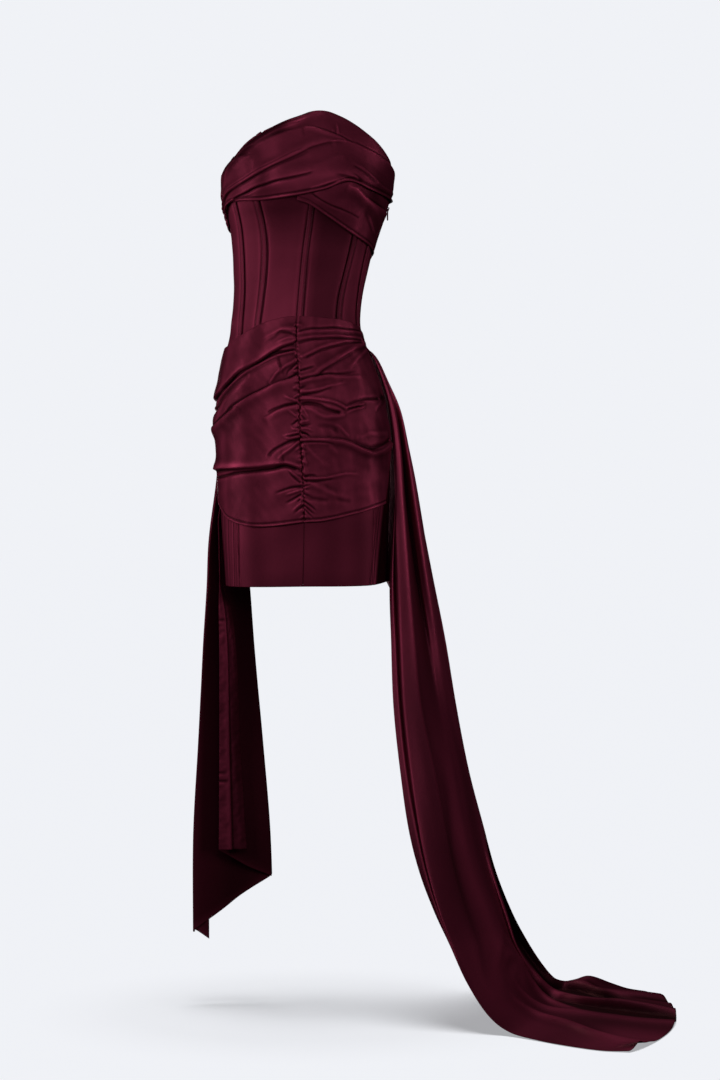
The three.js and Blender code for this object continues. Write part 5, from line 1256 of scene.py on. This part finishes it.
def train_points(s, t):
    """Middle of the train's cloth, and its painted light: the share of light painted into each point's
    colour.

    Places below 0 are the margin turned in behind the front edge.
    """
    place, station = np.broadcast_arrays(s[:, None], (1 - t[None, :]) * (len(TRAIN) - 1))
    turned = np.clip(-place / TRAIN_MARGIN, 0, 1)
    place = np.maximum(place, 0)
    rows = [(i, *row) for i, row in enumerate(TRAIN)]
    front = np.stack([curve(rows, k, station) for k in (1, 2, 3)], -1)
    back = np.stack([curve(rows, k, station) for k in (4, 5, 6)], -1)
    chord = back - front
    side = unit(np.stack([chord[..., 1], -chord[..., 0], 0 * place], -1))
    bulge = curve(rows, 7, station)

    def plain(across):
        bow = np.sin(np.pi * np.clip(across, 0, 1)) ** TRAIN_FULLNESS * bulge
        return front + chord * np.asarray(across)[..., None] + side * bow[..., None]

    lines = []
    for k, across in enumerate(TRAIN_LINES):
        line = plain(across + 0 * place)
        if k:
            line[..., 0] += curve(TRAIN_DRAPE, 2 * k - 1, station)
            line[..., 1] += curve(TRAIN_DRAPE, 2 * k, station)
        lines.append(line)
    stops = np.asarray(TRAIN_LINES)[:, None, None, None] + 0 * lines[0][None, ..., :1]
    across = np.clip(catmull(stops, place)[..., 0], 0, 1)
    lying = smooth((station - TRAIN_LIES_FROM) / TRAIN_LIES_OVER)
    hanging = mix(catmull(np.stack(lines), place), plain(across), lying[..., None])
    lift = side * (1 - lying[..., None]) + np.array([0, 0, 1.0]) * lying[..., None]
    rise = train_folds(TRAIN_LYING, across, station) * smooth((station - 12.8) / 2)
    rise = rise + train_creases(across, station) + ripple(across * 300, station * 60, 41, 0.8, 150)
    free = hanging + lift * rise[..., None]
    az = mix(TRAIN_SEAT_FROM, TRAIN_SEAT_TO, across)
    seat_lift = CLOTH / 2 + SEAM_GAP + train_folds(TRAIN_FOLDS, across, 0 * station) * TRAIN[0][7]
    seated = on_figure(az, TRAIN[0][2] + 0 * az, seat_lift)
    seated[..., 2] = free[..., 2]
    points = mix(seated, free, smooth(station / TRAIN_FREE)[..., None])
    # the margin runs back towards the skirt above the hem, and straight back below it
    z = points[..., 2]
    by_skirt = on_figure(TRAIN_MARGIN_AZ, np.clip(z, -446, 300), TRAIN_MARGIN_CLEAR + 0 * z)
    behind = points + np.array([2.0, 10, 0])
    reach = within(z, -452, 22, -64, 22)
    goal = mix(behind, by_skirt, reach[..., None])
    goal[..., 2] = z
    tight = smooth(turned)[..., None] * smooth(station / TRAIN_FREE)[..., None] * (1 - lying[..., None])
    round_off = np.sin(np.pi * turned)[..., None] * np.array([-1.5, -1.0, 0]) * reach[..., None]
    # painted shade and highlight from the table, and painted shade on the margin, on the floor and on the far
    # part
    painted_dark = train_folds(TRAIN_PAINTED_LIGHT, across, station, straight) * (1 - turned)
    painted_dark += TRAIN_MARGIN_PAINTED_SHADE * turned
    painted_dark += FLOOR_PAINTED_SHADE * lying + FAR_PAINTED_SHADE * smooth((station - 16.3) / 1.5) * smooth((across - 0.2) / 0.2)
    return mix(points, goal, tight) + round_off * tight, np.exp(-painted_dark)


def make_train():
    size = (345, 1350)
    s, t = cloth_places(190, 240, size, TRAIN_ROUND)
    s = mix(-TRAIN_MARGIN, 1, s)
    middle, light = train_points(s, t)
    # painted shade and highlight of the folds, with the painted light of train_points
    shade = painted_fold_shade(middle, grid_normal(middle), TRAIN_LOOKS)
    half = half_wall((s + TRAIN_MARGIN) / (1 + TRAIN_MARGIN), t, size, TRAIN_THICK, TRAIN_ROUND)
    middle[..., 2] = np.maximum(middle[..., 2], FLOOR + half + 0.05)
    piece = cloth_mesh("train_satin", middle, grid_normal(middle), half, look_of("satin_train"), shade, light)
    hold_flat("train")


def catmull(points, places):
    """A curve through stacked, evenly spaced points, at places from 0 to 1."""
    stops = np.concatenate([2 * points[:1] - points[1:2], points, 2 * points[-1:] - points[-2:-1]])
    last = len(points) - 1
    x = np.clip(places * last, 0, last - 1e-9)
    k = x.astype(int)
    near = [np.take_along_axis(stops, (k + j)[None, ..., None] + np.zeros((1, 1, 1, 3), int), 0)[0]
            for j in range(4)]
    return spline(*near, (x - k)[..., None])


def tail_points(across, z):
    left, right, inner = (np.stack([curve(TAIL, k, z), curve(TAIL, k + 1, z), z], -1) for k in (1, 3, 5))
    run = unit(right - left)
    away = np.stack([-run[..., 1], run[..., 0], 0 * z], -1)
    half = TAIL_PLY / 2
    bow = curve(TAIL, 7, z)[..., None]
    inner_bow = curve(TAIL, 8, z)[..., None]
    inside = right - run * half - away * TAIL_PLY
    stops = np.stack([
        left + run * TAIL_FLAP + away * TAIL_PLY, left + run * half + away * TAIL_PLY, left + away * half,
        left + run * half, mix(left, right, 0.5) + away * bow, right - run * half, right - away * half,
        inside, mix(inside, inner, 0.5) + away * inner_bow, inner,
    ])
    return catmull(stops, across)


def make_tail():
    size = (300, 700)
    s, t = cloth_places(120, 100, size, TRAIN_ROUND)
    across, upward = np.broadcast_arrays(s[:, None], t[None, :])
    z = mix(curve(TAIL_HEM, 1, across), TAIL_TOP, upward)
    middle = tail_points(across, z)
    # painted shade: the tail's right part and its lower end are darker, with painted lines along the hem
    light = mix(0.78, 0.42, smooth((across - 0.37) / 0.12)) * mix(0.85, 1.0, smooth((z + 1000) / 220))
    above_hem = z - curve(TAIL_HEM, 1, across)
    light = light * (1 + sum(much * bell((above_hem - up) / reach) for up, much, reach in TAIL_HEM_PAINTED_LINES))
    piece = cloth_mesh("tail_outer_satin", middle, grid_normal(middle),
                       half_wall(s, t, size, TRAIN_THICK, TRAIN_ROUND), look_of("satin_tail_painted_shade"), light=light)
    hold_flat("tail_outer")


def make_inner_tail():
    size = (40, 570)
    s, t = cloth_places(30, 130, size, TRAIN_ROUND)
    across, upward = np.broadcast_arrays(s[:, None], t[None, :])
    z = mix(TAIL_INNER[0][0], TAIL_INNER[-1][0], upward)
    x = mix(curve(TAIL_INNER, 1, z), curve(TAIL_INNER, 3, z), across)
    y = mix(curve(TAIL_INNER, 2, z), curve(TAIL_INNER, 4, z), across) - 4 * np.sin(np.pi * across)
    seat = on_figure(mix(TAIL_INNER_SEAT_FROM, TAIL_INNER_SEAT_TO, across), z, CLOTH / 2 + SEAM_GAP + 0 * z)
    middle = mix(np.stack([x, y, z], -1), seat, smooth((z + 345) / 45)[..., None])
    middle[..., 1] += ripple(across * 40, z, 51, 0.5, 26)
    # a fold down its middle, and crinkles at two heights
    hanging = smooth((-430 - z) / 60)
    middle[..., 0] -= 2.6 * (1 - smooth(across / 0.45)) * hanging
    middle[..., 1] += 2.6 * smooth((across - 0.40) / 0.09) * hanging
    for at, reach, turn in TAIL_CRINKLES:
        wave = np.cos((z - at) * 2 * np.pi / 12 + turn * across)
        middle[..., 1] += 0.8 * bell((z - at) / reach) * wave * smooth((0.55 - across) / 0.35)
    middle[..., 1] += ripple(across * 40, z, 53, 0.3, 12) * hanging
    # painted shade: the inner layer's right part and its lower end are darker
    light = mix(0.84, 0.6, smooth((across - 0.4) / 0.09)) * mix(0.9, 1.05, smooth((z + 650) / 150))
    piece = cloth_mesh("tail_inner_satin", middle, grid_normal(middle),
                       half_wall(s, t, size, TRAIN_THICK, TRAIN_ROUND), look_of("satin_drape"), light=light)
    hold_flat("tail_inner")


# Sewing

STITCH_PITCH, STITCH_LONG, STITCH_THICK = 3.1, 2.2, 0.34
# How far the stitches run inside a channel's edge, and beside the slot of the zip
STITCH_INSIDE, STITCH_BESIDE = 1.3, 2.2
# The six ends of a stitch: along the seam, across it, out of the cloth
STITCH_POINTS = np.array([(-1, 0, 0), (0, -1, 0), (0, 0, 1), (0, 1, 0), (0, 0, -1), (1, 0, 0)]) / 2
STITCH_FACES = [(0, 1, 2), (0, 2, 3), (0, 3, 4), (0, 4, 1), (5, 2, 1), (5, 3, 2), (5, 4, 3), (5, 1, 4)]


def stitch_row(places, out):
    """Stitches along a line of places, as corner points in millimetres."""
    steps = np.concatenate([[0], np.cumsum(np.linalg.norm(np.diff(places, axis=0), axis=1))])
    at = np.arange(STITCH_PITCH, steps[-1] - STITCH_PITCH, STITCH_PITCH)

    def along(values, where):
        return np.stack([np.interp(where, steps, values[:, k]) for k in range(3)], -1)

    run = unit(along(places, at + 0.5) - along(places, at - 0.5))
    up = unit(along(out, at))
    aside = np.cross(up, run)
    size = STITCH_POINTS * np.array([STITCH_LONG, STITCH_THICK, STITCH_THICK])
    axes = np.stack([run, aside, up], 1)
    return along(places, at)[:, None, :] + np.einsum("pk,nkc->npc", size, axes)


def make_stitches():
    rows = []
    for name in CORSET_SEAMS:
        line = seam(name)
        middle = float(line(60.0))
        z = np.linspace(-70, float(corset_top(middle)) - 6, 120)
        for side in (-1, 1):
            az = step_round(line(z), z, side * (BONE_WIDTH / 2 - STITCH_INSIDE))
            rows.append(stitch_row(on_figure(az, z, BONE_CLEAR + BONE_RISE + 0.02 + 0 * z), outward(az, z)))
    for side in (-1, 1):
        z = np.linspace(ZIP_BOTTOM - 2, float(corset_top(ZIP_AZ)) - 8, 120)
        az = zip_side(side * (ZIP_SLOT / 2 + STITCH_BESIDE))(z)
        rows.append(stitch_row(on_figure(az, z, 0.04 + 0 * z), outward(az, z)))
    corners = np.concatenate(rows)
    faces = [[i + 6 * k for i in face] for k in range(len(corners)) for face in STITCH_FACES]
    simple_mesh("stitches", corners.reshape(-1, 3), faces, look_of("sewing_thread"), flat=False)


# Zip

def deselect():
    for each in bpy.context.selected_objects:
        each.select_set(False)


def one_tooth():
    """A zip tooth in millimetres: a beveled block, as points and faces."""
    deselect()
    bpy.ops.mesh.primitive_cube_add(size=1, location=(0, 0, 0))
    tooth = bpy.context.object
    tooth.dimensions = TOOTH_SIZE
    bpy.ops.object.transform_apply(location=True, rotation=True, scale=True)
    bpy.ops.object.mode_set(mode="EDIT")
    bpy.ops.mesh.select_all(action="SELECT")
    bpy.ops.mesh.bevel(offset=TOOTH_BEVEL, segments=1)
    bpy.ops.object.mode_set(mode="OBJECT")
    points = np.array([v.co for v in tooth.data.vertices])
    faces = [list(p.vertices) for p in tooth.data.polygons]
    old = tooth.data
    bpy.data.objects.remove(tooth)
    bpy.data.meshes.remove(old)
    return points, faces


def simple_mesh(name, points, faces, look, flat=True):
    mesh = bpy.data.meshes.new(name)
    mesh.from_pydata((np.asarray(points) * MM).tolist(), [], faces)
    mesh.update()
    mesh.polygons.foreach_set("use_smooth", np.full(len(mesh.polygons), not flat))
    piece = add_object(name, mesh)
    mesh.materials.append(look)
    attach(piece, CLOTH_BODY)
    return piece


def make_zip():
    tape = panel("zip_tape", zip_side(-ZIP_TAPE / 2), zip_side(ZIP_TAPE / 2), fixed(ZIP_BOTTOM),
                 lambda az: corset_top(az) - 2, 6, 60, (ZIP_TAPE, 232), look_of("satin_corset"), 0, 0,
                 offset=-0.9, thick=0.8, rounding=0.5)
    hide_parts("zip_chain")
    points, faces = one_tooth()
    all_points, all_faces = [], []
    top = float(corset_top(ZIP_AZ)) - 6
    count = int((top - ZIP_BOTTOM - 4) / TOOTH_PITCH)
    for k in range(count):
        z = ZIP_BOTTOM + 4 + k * TOOTH_PITCH
        out = outward(ZIP_AZ, z)
        up = unit(np.array([0, 0, 1.0]) - out * out[2])
        across = np.cross(out, up)
        centre = figure(ZIP_AZ, z) - out * TOOTH_SINK + across * (TOOTH_ASIDE if k % 2 else -TOOTH_ASIDE)
        all_faces += [[i + len(all_points) * len(points) for i in f] for f in faces]
        all_points.append(centre + points[:, :1] * across + points[:, 1:2] * out + points[:, 2:] * up)
    teeth = simple_mesh("zip_teeth", np.vstack(all_points), all_faces, look_of("zip_metal"))
    for node in ("zip_slider", "zip_pull_tab"):
        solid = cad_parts[node]
        solid.data.materials.clear()
        solid.data.materials.append(look_of("zip_metal"))
        weld = solid.modifiers.new("weld", "WELD")
        weld.merge_threshold = 0.00002
        rounded = solid.modifiers.new("rounded", "BEVEL")
        rounded.width = SLIDER_BEVEL * MM
        rounded.segments = 2
        rounded.limit_method = "ANGLE"


# Stage

CAMERA_PLACE = (0.096, -4.0, -0.371)
CAMERA_LENS = 83.33
# Soft lights: place and target in metres, size, power in watts
LIGHTS = [
    ("key", (-1.7, -3.0, 0.9), (0, 0, -0.25), (0.6, 1.2), 18),
    ("front", (0.2, -3.6, 0.6), (0, 0, -0.3), (0.8, 0.8), 8),
    ("fill", (2.2, -2.6, 0.3), (0, 0, -0.3), (0.7, 1.6), 6),
    ("left side", (-3.0, -0.6, 0.2), (0, 0, -0.3), (0.5, 2.2), 14),
    ("right side", (3.0, -0.6, 0.2), (0, 0, -0.3), (0.5, 2.2), 9.5),
    ("left rim", (-2.4, 1.2, -0.1), (0, 0, -0.3), (0.5, 2.2), 4),
    ("top", (0, -0.3, 3.0), (0, 0, -0.3), (0.8, 0.8), 9),
    ("back", (0.3, 2.4, 2.8), (0, 0, -0.3), (1.2, 1.2), 14),
    ("behind", (-0.5, 3.4, 0.1), (0, 0, -0.1), (1.0, 1.4), 9),
]
BACKDROP = (0.872, 0.887, 0.925)
FLOOR_GLOW = 0.44
ROOM_GLOW = 0.01
OVERHEAD_POWER = 2.75
OVERHEAD_SOFTNESS = 27


def soft_light(name, place, target, size, power):
    data = bpy.data.lights.new(name, "AREA")
    data.shape = "RECTANGLE"
    data.size, data.size_y = size
    data.energy = power
    lamp = add_object(name, data)
    lamp.location = place
    lamp.rotation_euler = (Vector(target) - Vector(place)).to_track_quat("-Z", "Y").to_euler()
    return lamp


def make_stage():
    camera = add_object("camera", bpy.data.cameras.new("camera"))
    camera.data.lens = CAMERA_LENS
    camera.data.sensor_width = 36
    camera.data.clip_end = 100
    camera.location = CAMERA_PLACE
    camera.rotation_euler = (np.pi / 2, 0, 0)
    bpy.context.scene.camera = camera

    deselect()
    bpy.ops.mesh.primitive_plane_add(size=400, location=(0, 0, FLOOR * MM - 0.0005))
    floor = bpy.context.object
    floor.name = "floor"
    bpy.ops.object.transform_apply(location=True, rotation=True, scale=True)
    floor.data.materials.append(pale_floor())
    # the floor only catches the overhead light, so it stays evenly pale and doesn't tint the dress
    floor.visible_diffuse = False
    floor.visible_glossy = False
    make_room()
    overhead = add_object("overhead", bpy.data.lights.new("overhead", "SUN"))
    overhead.data.energy = OVERHEAD_POWER
    overhead.data.angle = np.radians(OVERHEAD_SOFTNESS)
    for_floor = bpy.data.collections.new("floor_only")
    for_floor.objects.link(floor)
    overhead.light_linking.receiver_collection = for_floor
    not_floor = bpy.data.collections.new("all_but_floor")
    not_floor.objects.link(floor)
    not_floor.collection_objects[0].light_linking.link_state = "EXCLUDE"
    for name, place, target, size, power in LIGHTS:
        soft_light(name, place, target, size, power).light_linking.receiver_collection = not_floor


def pale_floor():
    """A plain pale matt floor that glows a little, as a lit paper sweep does."""
    look, tree, shader = new_look("pale_floor")
    put(tree, shader, Base_Color=(0.55, 0.56, 0.585, 1), Roughness=1, Specular_IOR_Level=0,
        Emission_Color=(*BACKDROP, 1), Emission_Strength=FLOOR_GLOW)
    return look


def make_room():
    """The pale backdrop as the camera sees it, and the dim room that lights the dress."""
    world = bpy.data.worlds.new("studio")
    bpy.context.scene.world = world
    world.use_nodes = True
    tree = world.node_tree
    seen = tree.nodes["Background"]
    put(tree, seen, Color=(*BACKDROP, 1))
    room = add_node(tree, "ShaderNodeBackground", Color=(0.9, 0.9, 1, 1), Strength=ROOM_GLOW)
    rays = add_node(tree, "ShaderNodeLightPath")
    choice = add_node(tree, "ShaderNodeMixShader")
    tree.links.new(rays.outputs["Is Camera Ray"], choice.inputs["Fac"])
    tree.links.new(room.outputs["Background"], choice.inputs[1])
    tree.links.new(seen.outputs["Background"], choice.inputs[2])
    tree.links.new(choice.outputs["Shader"], tree.nodes["World Output"].inputs["Surface"])
    bpy.context.scene.view_settings.view_transform = "Standard"


def colour_property(name, description, default):
    return bpy.props.FloatVectorProperty(
        name=name, description=description, subtype="COLOR", size=3, min=0, max=1, default=default)


class DressSettings(bpy.types.PropertyGroup):
    satin_colour: colour_property("Satin colour", "Dye of the satin", (0.2, 0.0225, 0.051))
    satin_roughness: bpy.props.FloatProperty(
        name="Satin roughness", description="How dull the satin is", subtype="FACTOR", min=0.1, max=0.9,
        default=0.45)
    thread_colour: colour_property("Thread colour", "Colour of the sewing thread", (0.07, 0.006, 0.018))
    zip_colour: colour_property("Zip colour", "Lacquer of the zip's metal", (0.1, 0.03, 0.045))


class DRESS_OT_stage(bpy.types.Operator):
    """Add the camera, the pale floor and the soft lights"""
    bl_idname = "dress.stage"
    bl_label = "Stage"

    def execute(self, context):
        make_stage()
        return {"FINISHED"}


class DRESS_OT_corset(bpy.types.Operator):
    """Add the eight corset panels"""
    bl_idname = "dress.corset"
    bl_label = "Corset"

    def execute(self, context):
        make_corset()
        return {"FINISHED"}


class DRESS_OT_bone_channels(bpy.types.Operator):
    """Add the five bone channels"""
    bl_idname = "dress.bone_channels"
    bl_label = "Bone channels"

    def execute(self, context):
        make_bone_channels()
        return {"FINISHED"}


class DRESS_OT_skirt(bpy.types.Operator):
    """Add the six panels of the mini skirt"""
    bl_idname = "dress.skirt"
    bl_label = "Mini skirt"

    def execute(self, context):
        make_skirt()
        return {"FINISHED"}


class DRESS_OT_bust_drape(bpy.types.Operator):
    """Add the crossed bust drape and its band round the back"""
    bl_idname = "dress.bust_drape"
    bl_label = "Bust drape"

    def execute(self, context):
        make_bust_drape()
        return {"FINISHED"}


class DRESS_OT_overskirt(bpy.types.Operator):
    """Add the two ruched halves of the overskirt"""
    bl_idname = "dress.overskirt"
    bl_label = "Overskirt"

    def execute(self, context):
        make_overskirt()
        return {"FINISHED"}


class DRESS_OT_train(bpy.types.Operator):
    """Add the side train"""
    bl_idname = "dress.train"
    bl_label = "Train"

    def execute(self, context):
        make_train()
        return {"FINISHED"}


class DRESS_OT_tail(bpy.types.Operator):
    """Add the folded side tail and its inner layer"""
    bl_idname = "dress.tail"
    bl_label = "Tail"

    def execute(self, context):
        make_tail()
        make_inner_tail()
        return {"FINISHED"}


class DRESS_OT_zip(bpy.types.Operator):
    """Add the zip's tape and teeth and finish its slider and pull tab"""
    bl_idname = "dress.zip"
    bl_label = "Zip"

    def execute(self, context):
        make_zip()
        return {"FINISHED"}


class DRESS_OT_stitches(bpy.types.Operator):
    """Sew the rows of stitches along the bone channels and the zip"""
    bl_idname = "dress.stitches"
    bl_label = "Stitches"

    def execute(self, context):
        make_stitches()
        return {"FINISHED"}


STEPS = [
    DRESS_OT_stage, DRESS_OT_corset, DRESS_OT_bone_channels, DRESS_OT_skirt, DRESS_OT_bust_drape,
    DRESS_OT_overskirt, DRESS_OT_train, DRESS_OT_tail, DRESS_OT_zip, DRESS_OT_stitches,
]


class DRESS_PT_panel(bpy.types.Panel):
    """Lists the dress's colours, its satin's roughness and the steps that build it"""
    bl_idname = "DRESS_PT_panel"
    bl_label = "Satin Evening Dress"
    bl_space_type = "VIEW_3D"
    bl_region_type = "UI"
    bl_category = "Dress"

    def draw(self, context):
        for name in ("satin_colour", "satin_roughness", "thread_colour", "zip_colour"):
            self.layout.prop(context.scene.dress, name)
        for step in STEPS:
            self.layout.operator(step.bl_idname)


def register():
    for each in (DressSettings, *STEPS, DRESS_PT_panel):
        bpy.utils.register_class(each)
    bpy.types.Scene.dress = bpy.props.PointerProperty(type=DressSettings)


def unregister():
    del bpy.types.Scene.dress
    for each in (DRESS_PT_panel, *reversed(STEPS), DressSettings):
        bpy.utils.unregister_class(each)


def main():
    register()
    for step in STEPS:
        group, name = step.bl_idname.split(".")
        getattr(getattr(bpy.ops, group), name)()


if __name__ == "__main__":
    main()
